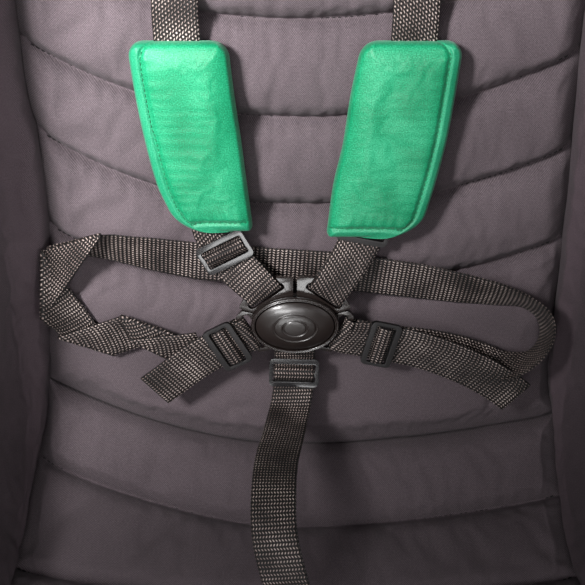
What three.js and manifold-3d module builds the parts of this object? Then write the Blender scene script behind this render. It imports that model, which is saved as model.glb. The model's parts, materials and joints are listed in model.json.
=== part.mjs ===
// Convertible car seat: a moulded bucket on a rocking base, padded covers, a five-point harness
// with one centre-release buckle, a sliding headrest and two extending anchor arms.
// Millimetres, +Z up, the child faces -Y, +X is the right-hand side seen from the front.
import * as THREE from "three";
import { mergeVertices } from "three/addons/utils/BufferGeometryUtils.js";
import Module from "manifold-3d";

const wasm = await Module();
wasm.setup();

// ---------- driving dimensions ----------
const SEAT_SLOPE = 15; // seat plane below horizontal, towards the back
const BACK_LEAN = 22; // backrest behind vertical
const SEAT_DEPTH = 330; // nose to the line where seat and back planes meet
const BACK_HEIGHT = 600; // that line to the top of the backrest
const CREASE_RADIUS = 110;
const NOSE_RADIUS = 35;
const FLAT_HALF = 160; // half-width of the flat bottom of the bucket
const CORNER_RADIUS = 40;
const WALL_ANGLE = 82;
const SHELL_THICK = 4;
const PAD_THICK = 28;
const BOLSTER_THICK = 24;
const PAD_GAP = 1.2; // padding above the bucket surface
const WEB_WIDTH = 25;
const WEB_THICK = 1.3;
const RECLINE_Y = -10; // recline axis, front to back
const RECLINE_Z = 470; // recline axis height
const ROCKER_RADIUS = 370;
const SADDLE_RADIUS = 372;
const CHEEK_RADIUS = 335;
const ROD_RADIUS = 350; // distance of the guide rods from the recline axis
const BASE_HALF = 165;
const BASE_FRONT = -220;
const BASE_REAR = 200;
const ARM_SPACING = 280; // centre distance of the two anchor arms
const BUCKLE_UP = 143.6; // buckle centre above the seat line, along the back
const BUCKLE_OUT = 45.5; // buckle mid-plane in front of the bucket

const rad = THREE.MathUtils.degToRad;
const V = (x, y, z) => new THREE.Vector3(x, y, z);

// ---------- materials ----------
function material(color, roughness, metalness) {
  return new THREE.MeshStandardMaterial({ color, roughness, metalness });
}
const fabric = () => material(0x5a5158, 0.95, 0);
const sideFabric = () => material(0x47414a, 0.95, 0);
const satinGreen = () => material(0x1fb878, 0.6, 0);
const webbing = () => material(0x2b2422, 0.9, 0);
const shellPlastic = () => material(0x2a2a2d, 0.55, 0);
const basePlastic = () => material(0x333336, 0.6, 0);
const glossBlack = () => material(0x101012, 0.25, 0);
const satinBuckle = () => material(0x3b3634, 0.4, 0);
const releaseRed = () => material(0xa33a30, 0.45, 0);
const steel = () => material(0xb4b7ba, 0.35, 1);

// ---------- solids ----------
// A closed surface from corner points and triangles, turned to face outwards.
function closed(points, triangles) {
  let volume = 0;
  for (const [a, b, c] of triangles) {
    volume += points[a].dot(points[b].clone().cross(points[c]));
  }
  const faces = volume < 0 ? triangles.map(([a, b, c]) => [a, c, b]) : triangles;
  const geometry = new THREE.BufferGeometry();
  const position = points.flatMap((p) => [p.x, p.y, p.z]);
  geometry.setAttribute("position", new THREE.Float32BufferAttribute(position, 3));
  geometry.setIndex(faces.flat());
  geometry.computeVertexNormals();
  return geometry;
}

function solidOf(geometry) {
  const bare = geometry.clone();
  bare.deleteAttribute("normal");
  bare.deleteAttribute("uv");
  const merged = mergeVertices(bare, 1e-4);
  return new wasm.Manifold(
    new wasm.Mesh({
      numProp: 3,
      vertProperties: new Float32Array(merged.attributes.position.array),
      triVerts: new Uint32Array(merged.index.array),
    }),
  );
}

function geometryOf(solid) {
  const mesh = solid.getMesh();
  const geometry = new THREE.BufferGeometry();
  const position = new Float32Array(mesh.numVert * 3);
  for (let i = 0; i < mesh.numVert; i++) {
    position.set(mesh.vertProperties.subarray(i * mesh.numProp, i * mesh.numProp + 3), i * 3);
  }
  geometry.setAttribute("position", new THREE.BufferAttribute(position, 3));
  geometry.setIndex(new THREE.BufferAttribute(new Uint32Array(mesh.triVerts), 1));
  geometry.computeVertexNormals();
  return geometry;
}

function cut(body, tools) {
  return geometryOf(tools.reduce((left, tool) => left.subtract(solidOf(tool)), solidOf(body)));
}

function join(bodies) {
  const [first, ...rest] = bodies.map(solidOf);
  return geometryOf(rest.reduce((sum, body) => sum.add(body), first));
}

function box(x0, x1, y0, y1, z0, z1) {
  const geometry = new THREE.BoxGeometry(x1 - x0, y1 - y0, z1 - z0);
  return geometry.translate((x0 + x1) / 2, (y0 + y1) / 2, (z0 + z1) / 2);
}

// A cylinder along local x, y or z.
function rod(radius, length, axis, segments = 16) {
  const geometry = new THREE.CylinderGeometry(radius, radius, length, segments);
  if (axis === "x") geometry.rotateZ(Math.PI / 2);
  if (axis === "z") geometry.rotateX(Math.PI / 2);
  return geometry;
}

// An outline in the XY plane, raised from z0 to z1.
function plate(outline, z0, z1, holes = []) {
  const shape = new THREE.Shape(outline.map(([x, y]) => new THREE.Vector2(x, y)));
  for (const hole of holes) {
    shape.holes.push(new THREE.Path(hole.map(([x, y]) => new THREE.Vector2(x, y))));
  }
  const geometry = new THREE.ExtrudeGeometry(shape, { depth: z1 - z0, bevelEnabled: false });
  return geometry.translate(0, 0, z0);
}

// An outline in the YZ plane, spread from x0 to x1.
function prismX(outline, x0, x1) {
  const turn = new THREE.Matrix4().makeBasis(V(0, 1, 0), V(0, 0, 1), V(1, 0, 0));
  return plate(outline, x0, x1).applyMatrix4(turn);
}

function ellipse(rx, ry, count, cx = 0, cy = 0) {
  const points = [];
  for (let i = 0; i < count; i++) {
    const a = (2 * Math.PI * i) / count;
    points.push([cx + rx * Math.cos(a), cy + ry * Math.sin(a)]);
  }
  return points;
}

// A solid through a row of equal closed outlines, with flat ends.
function loft(rings, outline) {
  const count = rings[0].length;
  const points = rings.flat();
  const triangles = [];
  for (let i = 0; i + 1 < rings.length; i++) {
    for (let k = 0; k < count; k++) {
      const a = i * count + k;
      const b = i * count + ((k + 1) % count);
      triangles.push([a, b, b + count], [a, b + count, a + count]);
    }
  }
  const flat = outline.map(([x, y]) => new THREE.Vector2(x, y));
  const last = (rings.length - 1) * count;
  const area = THREE.ShapeUtils.area(flat);
  for (const [a, b, c] of THREE.ShapeUtils.triangulateShape(flat, [])) {
    const [p, q] = area > 0 ? [b, c] : [c, b];
    triangles.push([a, q, p], [last + a, last + p, last + q]);
  }
  return closed(points, alignedCaps(triangles, rings.length, count));
}

// The end faces are turned so that every shared edge runs both ways.
function alignedCaps(triangles, ringCount, count) {
  const sides = 2 * count * (ringCount - 1);
  const corners = ([a, b, c]) => [`${a},${b}`, `${b},${c}`, `${c},${a}`];
  const edges = new Set(triangles.slice(0, sides).flatMap(corners));
  return triangles.map((t, i) => {
    const clash = i >= sides && corners(t).some((edge) => edges.has(edge));
    return clash ? [t[0], t[2], t[1]] : t;
  });
}

// A solid between two grids of points: at(i, j, 1) is the top, at(i, j, 0) the underside.
function slab(rows, columns, at) {
  const points = [];
  const index = (i, j, side) => side * (rows + 1) * (columns + 1) + i * (columns + 1) + j;
  for (const side of [0, 1]) {
    for (let i = 0; i <= rows; i++) {
      for (let j = 0; j <= columns; j++) points.push(at(i, j, side));
    }
  }
  const triangles = [];
  const quad = (a, b, c, d) => triangles.push([a, b, c], [a, c, d]);
  for (let i = 0; i < rows; i++) {
    for (let j = 0; j < columns; j++) {
      quad(index(i, j, 1), index(i, j + 1, 1), index(i + 1, j + 1, 1), index(i + 1, j, 1));
      quad(index(i, j, 0), index(i + 1, j, 0), index(i + 1, j + 1, 0), index(i, j + 1, 0));
    }
    quad(index(i, 0, 0), index(i, 0, 1), index(i + 1, 0, 1), index(i + 1, 0, 0));
    quad(index(i, columns, 1), index(i, columns, 0), index(i + 1, columns, 0), index(i + 1, columns, 1));
  }
  for (let j = 0; j < columns; j++) {
    quad(index(0, j, 1), index(0, j, 0), index(0, j + 1, 0), index(0, j + 1, 1));
    quad(index(rows, j, 0), index(rows, j, 1), index(rows, j + 1, 1), index(rows, j + 1, 0));
  }
  return closed(points, triangles);
}

// ---------- the bucket surface ----------
const TURN = rad(90 - BACK_LEAN + SEAT_SLOPE);
const TANGENT = CREASE_RADIUS * Math.tan(TURN / 2);
const SEAT_STRAIGHT = SEAT_DEPTH - TANGENT;
const CREASE_ARC = CREASE_RADIUS * TURN;
const CREASE_END = SEAT_STRAIGHT + CREASE_ARC;
const PROFILE_END = CREASE_END + BACK_HEIGHT - TANGENT;
const NOSE_ARC = (NOSE_RADIUS * Math.PI) / 2;
const CORNER = V(0, 90, 140); // where the seat and back planes meet
const SEAT_DIR = V(0, Math.cos(rad(SEAT_SLOPE)), -Math.sin(rad(SEAT_SLOPE)));
const SEAT_NORMAL = V(0, Math.sin(rad(SEAT_SLOPE)), Math.cos(rad(SEAT_SLOPE)));
const BACK_DIR = V(0, Math.sin(rad(BACK_LEAN)), Math.cos(rad(BACK_LEAN)));
const BACK_NORMAL = V(0, -Math.cos(rad(BACK_LEAN)), Math.sin(rad(BACK_LEAN)));
const NORMAL_START = rad(90 - SEAT_SLOPE);

// Centre-line point and its direction towards the child at a distance s from the seat front.
function profile(s) {
  const along = (origin, dir, d) => origin.clone().addScaledVector(dir, d);
  const facing = (a) => V(0, Math.cos(a), Math.sin(a));
  const front = along(CORNER, SEAT_DIR, -SEAT_DEPTH);
  if (s < 0) {
    const normal = facing(NORMAL_START - s / NOSE_RADIUS);
    const centre = along(front, SEAT_NORMAL, -NOSE_RADIUS);
    return { point: along(centre, normal, NOSE_RADIUS), normal };
  }
  if (s < SEAT_STRAIGHT) return { point: along(front, SEAT_DIR, s), normal: SEAT_NORMAL.clone() };
  if (s < CREASE_END) {
    const normal = facing(NORMAL_START + (s - SEAT_STRAIGHT) / CREASE_RADIUS);
    const seatEnd = along(front, SEAT_DIR, SEAT_STRAIGHT);
    const centre = along(seatEnd, SEAT_NORMAL, CREASE_RADIUS);
    return { point: along(centre, normal, -CREASE_RADIUS), normal };
  }
  const point = along(CORNER, BACK_DIR, TANGENT + s - CREASE_END);
  return { point, normal: BACK_NORMAL.clone() };
}

// Direction the side wings rise in; it turns slowly so the wings never fold over the crease.
const WING_TURN_START = 112.5;
const WING_TURN_LENGTH = 400;
function wingDirection(s) {
  if (s < 0) return profile(s).normal;
  const t = THREE.MathUtils.clamp((s - WING_TURN_START) / WING_TURN_LENGTH, 0, 1);
  const a = NORMAL_START + TURN * t;
  return V(0, Math.cos(a), Math.sin(a));
}

// Smooth curve through [position, value] pairs.
function through(keys, s) {
  if (s <= keys[0][0]) return keys[0][1];
  for (let i = 0; i + 1 < keys.length; i++) {
    const [a, va] = keys[i];
    const [b, vb] = keys[i + 1];
    if (s > b) continue;
    const before = keys[Math.max(0, i - 1)];
    const after = keys[Math.min(keys.length - 1, i + 2)];
    const h = b - a;
    const ma = ((vb - before[1]) / (b - before[0])) * h;
    const mb = ((after[1] - va) / (after[0] - a)) * h;
    const t = (s - a) / h;
    const t2 = t * t;
    const t3 = t2 * t;
    return (2 * t3 - 3 * t2 + 1) * va + (t3 - 2 * t2 + t) * ma + (3 * t2 - 2 * t3) * vb + (t3 - t2) * mb;
  }
  return keys[keys.length - 1][1];
}

const WING_HEIGHT = [
  [-55, 26], [0, 58], [150, 112], [312, 164], [430, 150], [600, 150], [750, 168], [850, 150], [895, 104],
];
const CORNER_ARC = CORNER_RADIUS * rad(WALL_ANGLE);
const CORNER_RISE = CORNER_RADIUS * (1 - Math.cos(rad(WALL_ANGLE)));

// Distance from the centre line to the rim, measured round the bucket.
function rim(s) {
  const height = through(WING_HEIGHT, s);
  if (height < CORNER_RISE) return FLAT_HALF + CORNER_RADIUS * Math.acos(1 - height / CORNER_RADIUS);
  return FLAT_HALF + CORNER_ARC + (height - CORNER_RISE) / Math.sin(rad(WALL_ANGLE));
}

// Half a U: distance round the section to [x, height, normal x, normal height].
function section(u, flat = FLAT_HALF, radius = CORNER_RADIUS, wall = WALL_ANGLE) {
  const side = Math.sign(u) || 1;
  const d = Math.abs(u) - flat;
  if (d < 0) return [u, 0, 0, 1];
  const a = Math.min(d / radius, rad(wall));
  const rest = Math.max(0, d - radius * rad(wall));
  const x = flat + radius * Math.sin(a) + rest * Math.cos(a);
  const h = radius * (1 - Math.cos(a)) + rest * Math.sin(a);
  return [side * x, h, -side * Math.sin(a), Math.cos(a)];
}

// A point n millimetres inside the bucket surface.
function bucket(s, u, n) {
  const [x, h, nx, nh] = section(u);
  const point = profile(s).point.addScaledVector(wingDirection(s), h + n * nh);
  return point.setX(x + n * nx);
}

// Even steps between marks: [[from, steps], ..., [to]].
function steps(...marks) {
  const values = [];
  for (let i = 0; i + 1 < marks.length; i++) {
    const [from, count] = marks[i];
    for (let k = 0; k < count; k++) values.push(from + ((marks[i + 1][0] - from) * k) / count);
  }
  values.push(marks[marks.length - 1][0]);
  return values;
}

// ---------- assembly ----------
const seat = new THREE.Group();
const backFrame = new THREE.Group(); // x across, y up the back, z towards the child, from CORNER
const backBasis = new THREE.Matrix4().makeBasis(V(1, 0, 0), BACK_DIR, BACK_NORMAL);
backFrame.applyMatrix4(backBasis.setPosition(CORNER));
const harness = new THREE.Group(); // the back frame moved to the middle of the buckle
harness.position.set(0, BUCKLE_UP, BUCKLE_OUT);
backFrame.add(harness);
seat.add(backFrame);

function add(parent, name, geometry, look) {
  const mesh = new THREE.Mesh(geometry, look);
  mesh.name = name;
  parent.add(mesh);
  return mesh;
}

// Any geometry given in seat coordinates, turned into the harness group's own.
const toHarness = new THREE.Matrix4()
  .makeBasis(V(1, 0, 0), BACK_DIR, BACK_NORMAL)
  .setPosition(CORNER.clone().addScaledVector(BACK_DIR, BUCKLE_UP).addScaledVector(BACK_NORMAL, BUCKLE_OUT))
  .invert();
const fromHarness = toHarness.clone().invert();

// ---------- moulded bucket ----------
const STRAP_SLOT_X = 65;
const STRAP_SLOT_Y = 201; // harness coordinates
const CROTCH_SLOT_S = 150;
const CARRIAGE_LOW = 423; // up the back
const CARRIAGE_HIGH = 577;

function shoulderSlot(side, halfY) {
  const x = side * STRAP_SLOT_X;
  return box(x - 14, x + 14, STRAP_SLOT_Y - halfY, STRAP_SLOT_Y + halfY, -60, 5).applyMatrix4(fromHarness);
}

function crotchSlot(halfY) {
  const { point, normal } = profile(CROTCH_SLOT_S);
  const frame = new THREE.Matrix4().makeBasis(V(1, 0, 0), SEAT_DIR, normal).setPosition(point);
  return box(-14, 14, -halfY, halfY, -12, 60).applyMatrix4(frame);
}

function backBox(...limits) {
  return box(...limits).applyMatrix4(backFrame.matrix);
}

function shellGeometry() {
  const rows = steps([-NOSE_ARC, 4], [0, 4], [SEAT_STRAIGHT, 8], [CREASE_END, 5], [750, 4], [PROFILE_END]);
  const half = steps([0, 2], [1, 8], [2]);
  const columns = [...half.slice(1).map((t) => -t).reverse(), ...half];
  const body = slab(rows.length - 1, columns.length - 1, (i, j, side) => {
    const t = Math.abs(columns[j]);
    const beyond = Math.pow(Math.max(0, t - 1), 1.4) * (rim(rows[i]) - FLAT_HALF);
    const u = Math.sign(columns[j]) * (Math.min(t, 1) * FLAT_HALF + beyond);
    return bucket(rows[i], u, side ? 0 : -SHELL_THICK);
  });
  return cut(body, [
    shoulderSlot(-1, 3),
    shoulderSlot(1, 3),
    crotchSlot(3),
    backBox(-15.5, 15.5, CARRIAGE_LOW, CARRIAGE_HIGH, -10, 10),
  ]);
}

// ---------- padding ----------
// Height factor of a pad near its edge: rounded from a low side to the full thickness.
function crown(distance, edge) {
  const t = THREE.MathUtils.clamp(distance / edge, 0, 1);
  return 0.4 + 0.6 * Math.sqrt(1 - (1 - t) * (1 - t));
}

function padGeometry(sMarks, halfWidth, thickness, edge) {
  const rows = sMarks;
  const half = [0, 0.35, 0.65, 0.85, 0.95, 1];
  const columns = [...half.slice(1).map((t) => -t).reverse(), ...half].map((t) => t * halfWidth);
  return slab(rows.length - 1, columns.length - 1, (i, j, side) => {
    const s = rows[i];
    const u = columns[j];
    const toEdge = Math.min(s - rows[0], rows[rows.length - 1] - s, halfWidth - Math.abs(u));
    return bucket(s, u, side ? PAD_GAP + thickness(s) * crown(toEdge, edge) : PAD_GAP);
  });
}

function backPad() {
  const rows = steps([318, 1], [324, 1], [334, 5], [400, 6], [680, 1], [692, 1], [700]);
  const pad = padGeometry(rows, 150, () => PAD_THICK - PAD_GAP, 18);
  return cut(pad, [shoulderSlot(-1, 3.5), shoulderSlot(1, 3.5)]);
}

function seatPad() {
  const rows = steps([-NOSE_ARC, 4], [0, 4], [SEAT_STRAIGHT, 3], [300, 1], [308, 1], [314]);
  const thickness = (s) => (s < 0 ? 20 + (8 * (s + NOSE_ARC)) / NOSE_ARC : PAD_THICK - PAD_GAP);
  return cut(padGeometry(rows, 150, thickness, 18), [crotchSlot(3.5)]);
}

function upperBackPad() {
  const rows = steps([704, 1], [712, 3], [870, 1], [880]);
  const slot = backBox(-17, 17, CARRIAGE_LOW - 3, BACK_HEIGHT, -5, 20);
  return cut(padGeometry(rows, 146, () => 6.8, 10), [slot]);
}

// A roll that lines one wing, folds over its rim and tucks down the outside.
function bolster(side) {
  const rows = steps([12, 4], [SEAT_STRAIGHT, 6], [CREASE_END, 7], [800, 4], [884]);
  const outline = (s) => {
    const top = rim(s);
    const t = BOLSTER_THICK * Math.min(1, 0.55 + (s - 12) / 90, 0.55 + (884 - s) / 60);
    return [
      [157, PAD_GAP], [(157 + top) / 2, PAD_GAP], [top + 3, PAD_GAP], [top + 3, -5.2], [top - 25, -5.2],
      [top - 25, -8.4], [top + 3, -9], [top + 7.5, -5], [top + 9, t * 0.35], [top + 6, t * 0.85],
      [top - 3, t], [157 + (top - 157) * 0.7, t], [157 + (top - 157) * 0.38, t], [170, t * 0.96],
      [160, t * 0.8], [157, t * 0.4],
    ];
  };
  const rings = rows.map((s) => outline(s).map(([u, n]) => bucket(s, side * u, n)));
  return loft(rings, outline(rows[0]));
}

// ---------- webbing ----------
// A station is { p, w }: a point of the centre line and the direction across the web.
const station = (p, w) => ({ p, w: w.clone().normalize() });

function ribbon(stations, width = WEB_WIDTH, thickness = WEB_THICK) {
  const outline = [[-1, -1], [1, -1], [1, 1], [-1, 1]];
  const rings = stations.map(({ p, w }, i) => {
    const before = stations[Math.max(0, i - 1)].p;
    const after = stations[Math.min(stations.length - 1, i + 1)].p;
    const tangent = after.clone().sub(before).normalize();
    const across = w.clone().addScaledVector(tangent, -w.dot(tangent)).normalize();
    const up = across.clone().cross(tangent);
    return outline.map(([a, b]) =>
      p.clone().addScaledVector(across, (a * width) / 2).addScaledVector(up, (b * thickness) / 2),
    );
  });
  return loft(rings, outline);
}

// Stations eased through a few guide stations, with extra ones between.
function eased(guides, between = 3) {
  const curve = new THREE.CatmullRomCurve3(guides.map((g) => g.p), false, "centripetal");
  const out = [];
  const count = (guides.length - 1) * between;
  for (let i = 0; i <= count; i++) {
    const t = i / count;
    const k = Math.min(guides.length - 2, Math.floor(t * (guides.length - 1)));
    const f = t * (guides.length - 1) - k;
    out.push(station(curve.getPoint(t), guides[k].w.clone().lerp(guides[k + 1].w, f)));
  }
  return out;
}

// A small flat frame of axes: w across the web, l along it, n off its face.
function axes(origin, along, across) {
  const l = along.clone().normalize();
  const w = across.clone().addScaledVector(l, -across.dot(l)).normalize();
  const n = w.clone().cross(l);
  if (n.z < 0) n.negate();
  const at = (dl, dn, dw = 0) =>
    origin.clone().addScaledVector(l, dl).addScaledVector(n, dn).addScaledVector(w, dw);
  return { origin, l, w, n, at };
}

// ---------- tri-glide adjusters ----------
const GLIDE_LENGTH = 19;
const GLIDE_WIDTH = 31;
const GLIDE_HALF = 1.5;

function glideGeometry() {
  const a = GLIDE_WIDTH / 2;
  const b = GLIDE_LENGTH / 2;
  const c = 3; // corner size
  const outline = [
    [-a, -b + c], [-a + 1, -b + 1], [-a + c, -b], [a - c, -b], [a - 1, -b + 1], [a, -b + c],
    [a, b - c], [a - 1, b - 1], [a - c, b], [-a + c, b], [-a + 1, b - 1], [-a, b - c],
  ];
  const slot = (y0, y1) => [[-13.2, y0], [13.2, y0], [13.2, y1], [-13.2, y1]];
  return plate(outline, -GLIDE_HALF, GLIDE_HALF, [slot(-6, -2), slot(2, 6)]);
}

function placeGlide(name, frame) {
  const mesh = add(harness, name, glideGeometry(), glossBlack());
  const side = frame.w.clone().cross(frame.l).dot(frame.n) > 0 ? frame.w : frame.w.clone().negate();
  const turn = new THREE.Matrix4().makeBasis(side, frame.l, frame.n);
  mesh.setRotationFromMatrix(turn);
  mesh.position.copy(frame.origin);
}

// The web from the near end of an adjuster to the far end, humped over its centre bar.
const GLIDE_UNDER = -2.95; // web below the end bars
const GLIDE_RETURN = -4.75; // second layer below the first
function overGlide(frame) {
  const humps = [
    [-9.5, GLIDE_UNDER], [-6.3, GLIDE_UNDER], [-4, -1.6], [-3.3, 1.9], [-2, 2.9], [0, 3.05],
    [2, 2.9], [3.3, 1.9], [4, -1.6], [6.3, GLIDE_UNDER], [9.5, GLIDE_UNDER],
  ];
  return humps.map(([l, n]) => station(frame.at(l, n), frame.w));
}

// ---------- buckle ----------
const TONGUE_LOW = -0.5;
const TONGUE_HIGH = 3.6;
const TONGUE_SLOT = 2.5; // half-width of the slot
const TONGUE_REACH = 6; // slot centre to outer edge
const shoulderTongueAxes = (side) =>
  axes(V(side * 17.4, 18.6, 0), V(side * 0.6, 0.8, 0), V(side * -0.8, 0.6, 0));
const waistTongueAxes = (side) =>
  axes(V(side * 24.6, -6.2, 0), V(side * 0.877, -0.48, 0), V(side * -0.48, -0.877, 0));

function tongueSlot(frame) {
  const corner = (dl, dw) => frame.at(dl, 0, dw);
  return [
    corner(-TONGUE_SLOT, -12.9), corner(TONGUE_SLOT, -12.9), corner(TONGUE_SLOT, 12.9), corner(-TONGUE_SLOT, 12.9),
  ].map((p) => [p.x, p.y]);
}

function shoulderTongue(side) {
  const frame = shoulderTongueAxes(side);
  const outer = (dw) => {
    const p = frame.at(TONGUE_REACH, 0, dw);
    return [p.x, p.y];
  };
  const outline = [
    [side * 1.2, 8], [side * 1.2, 32], [side * 9, 32.4], outer(12.5), outer(-13), [side * 35.2, 11.4],
    [side * 34.8, 10.2], [side * 25.2, 7.2], [side * 16, 4.4], [side * 8.5, 8],
  ];
  return plate(ordered(outline), TONGUE_LOW, TONGUE_HIGH, [tongueSlot(frame)]);
}

function waistTongue(side) {
  const frame = waistTongueAxes(side);
  const outer = (dw) => {
    const p = frame.at(TONGUE_REACH, 0, dw);
    return [p.x, p.y];
  };
  const outline = [
    [side * 9, 2], [side * 16, 3.6], [side * 28.6, 7.5], [side * 34, 9.1], outer(-14.6), outer(14.4),
    [side * 16.2, -20.2], [side * 12.8, -16.6], [side * 9, -9],
  ];
  return plate(ordered(outline), TONGUE_LOW, TONGUE_HIGH, [tongueSlot(frame)]);
}

// Outlines are kept counter-clockwise so mirrored parts stay valid.
function ordered(outline) {
  const area = THREE.ShapeUtils.area(outline.map(([x, y]) => new THREE.Vector2(x, y)));
  return area > 0 ? outline : outline.slice().reverse();
}

// The web folded round a tongue's outer bar, from its back layer to its front layer.
function roundTongue(frame) {
  const fold = [
    [7.5, -1.9], [3.5, -1.65], [1.6, -1.3], [0.9, 0.2], [0.9, 2.9], [1.6, 4.4], [3.5, 4.75], [7.5, 4.7],
  ];
  return fold.map(([l, n]) => station(frame.at(l, n), frame.w));
}

function buckleHousing() {
  const back = plate(ellipse(23.5, 17.5, 28), -11, -1);
  const lip = plate(ellipse(19, 13, 20), -12.5, -10.99);
  const well = box(-8, 8, -6.5, 6.5, -8, 0);
  const foot = plate([[-17, -22], [17, -22], [17, -10], [-17, -10]], -9, -3.2);
  const slot = box(-13.4, 13.4, -19.5, -15, -13, 1);
  return cut(join([back, lip, foot]), [well, slot]);
}

// The rim round the button, clear of the tongues beneath it: a cranked foot between the
// two waist tongues carries it down to the housing.
function buckleRing() {
  const rim = plate(ellipse(26.4, 19.3, 36), 5.8, 10, [ellipse(24.1, 17.2, 36)]);
  const foot = box(-5, 5, -17.4, -15, -0.7, 3.9);
  const crank = box(-5, 5, -18.6, -17, 3, 6.5);
  return join([rim, crank, foot]);
}

function buckleButton() {
  const levels = [[1, 7.2], [1, 9.2], [0.96, 10.4], [0.82, 11.8], [0.55, 13], [0.25, 13.5]];
  const rings = levels.map(([k, z]) => ellipse(23.7 * k, 16.8 * k, 32).map(([x, y]) => V(x, y, z)));
  const dome = loft(rings, ellipse(1, 1, 32));
  return join([dome, box(-3, 3, -3, 3, 4.2, 7.5)]);
}

function latchPlate() {
  return box(-7, 7, -5.8, 6, TONGUE_LOW - 0.1, TONGUE_HIGH + 0.3);
}

// A coil spring along local z.
function coil(radius, wire, length, turns) {
  const count = turns * 9;
  const points = [];
  for (let i = 0; i <= count; i++) {
    const a = (2 * Math.PI * turns * i) / count;
    points.push(V(radius * Math.cos(a), radius * Math.sin(a), wire + ((length - 2 * wire) * i) / count));
  }
  const outline = ellipse(1, 1, 5);
  const rings = points.map((p, i) => {
    const tangent = points[Math.min(count, i + 1)].clone().sub(points[Math.max(0, i - 1)]).normalize();
    const out = V(p.x, p.y, 0).normalize();
    const side = out.clone().addScaledVector(tangent, -out.dot(tangent)).normalize();
    const up = side.clone().cross(tangent);
    return outline.map(([a, b]) => p.clone().addScaledVector(side, a * wire).addScaledVector(up, b * wire));
  });
  return loft(rings, outline);
}

// ---------- harness routes, in harness coordinates ----------
const leftGlide = axes(V(-41.5, 46.5, -2), V(-0.485, 0.875, -0.06), V(0.875, 0.485, 0));
const rightGlide = axes(V(40.5, 61, -5), V(0.21, 0.978, -0.05), V(-0.978, 0.21, 0));
const leftWaistGlide = axes(V(-41, -15, 7.6), V(-0.877, -0.48, 0.02), V(0.48, -0.877, 0));
const rightWaistGlide = axes(V(52.5, -14.5, 5.5), V(0.97, -0.24, -0.05), V(-0.24, -0.97, 0));
const crotchGlide = axes(V(-0.5, -37, 2), V(-0.03, -0.97, 0.24), V(1, 0, 0));
const ACROSS = V(1, 0, 0);

// Guide points of one shoulder web above its adjuster; mirrored by side.
function shoulderRun(side) {
  const points = [
    [57, 112, -9.8], [61, 140, -10], [64, 165, -11], [65, 186, -12.4], [65, 196, -14], [65, 200.3, -19],
    [65, 201, -27], [65, 201, -44], [65, 200.5, -52], [65, 197, -57.5], [65, 190, -58.8], [65, 178, -58],
  ];
  return points.map(([x, y, z]) => station(V(side * x, y, z), V(1, side * 0.03, 0)));
}

function shoulderStations(side) {
  const glide = side < 0 ? leftGlide : rightGlide;
  const tongue = shoulderTongueAxes(side);
  const under = [station(glide.at(7, GLIDE_RETURN), glide.w), station(glide.at(-9.5, GLIDE_RETURN), glide.w)];
  const first = side < 0
    ? [[-47.5, 58, -6.4], [-50.5, 72, -8.6], [-53.5, 92, -9.4]]
    : [[43.5, 74, -8.4], [48.5, 84, -9], [52.5, 96, -9.4]];
  const lower = first.map(([x, y, z]) => station(V(x, y, z), V(1, -side * 0.12, 0)));
  const all = [
    ...under,
    ...roundTongue(tongue),
    ...overGlide(glide),
    ...lower,
    ...shoulderRun(side),
  ];
  return all.map(({ p, w }) => station(p, w.x < 0 ? w.clone().negate() : w));
}

// The part of a shoulder web that its pad wraps.
function padRun(side) {
  const start = side < 0
    ? [[-48.5, 61, -7.3], [-50.5, 72, -8.6], [-53.5, 92, -9.4]]
    : [[41.4, 56, -8.2], [44, 72, -8.4], [52.5, 96, -9.4]];
  const upper = [[57, 112, -9.8], [61, 140, -10], [63.6, 162, -10.6], [64.4, 172, -10.8]];
  const points = [...start, ...upper.map(([x, y, z]) => [side * x, y, z])];
  return points.map(([x, y, z]) => station(V(x, y, z), V(1, -side * 0.12, 0)));
}

function shoulderPad(side) {
  const run = padRun(side);
  const outline = [
    [-29, 0.5], [-28, -4], [-23, -5.8], [0, -6.1], [23, -5.8], [28, -4], [29, 0.5],
    [27, 5.5], [17, 9.8], [0, 11], [-17, 9.8], [-27, 5.5],
  ];
  const rings = run.map(({ p, w }, i) => {
    const before = run[Math.max(0, i - 1)].p;
    const after = run[Math.min(run.length - 1, i + 1)].p;
    const tangent = after.clone().sub(before).normalize();
    const across = w.clone().addScaledVector(tangent, -w.dot(tangent)).normalize();
    const up = across.clone().cross(tangent);
    const k = i === 0 ? 0.93 : 1;
    return outline.map(([a, b]) => p.clone().addScaledVector(across, a * k).addScaledVector(up, b * k));
  });
  const body = loft(rings, outline);
  const stretched = [...run];
  const first = run[0].p.clone().addScaledVector(run[1].p.clone().sub(run[0].p).normalize(), -8);
  const end = run[run.length - 1].p;
  const last = end.clone().addScaledVector(end.clone().sub(run[run.length - 2].p).normalize(), 8);
  stretched.unshift(station(first, run[0].w));
  stretched.push(station(last, run[run.length - 1].w));
  const tools = [ribbon(stretched, 27.4, 3.4)];
  if (side > 0) {
    const pocket = box(-17, 17, -14, 11.5, -6.6, 5.2);
    const turn = new THREE.Matrix4().makeBasis(rightGlide.w.clone().negate(), rightGlide.l, rightGlide.n);
    tools.push(pocket.applyMatrix4(turn.setPosition(rightGlide.origin)));
  }
  return cut(body, tools);
}

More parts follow.
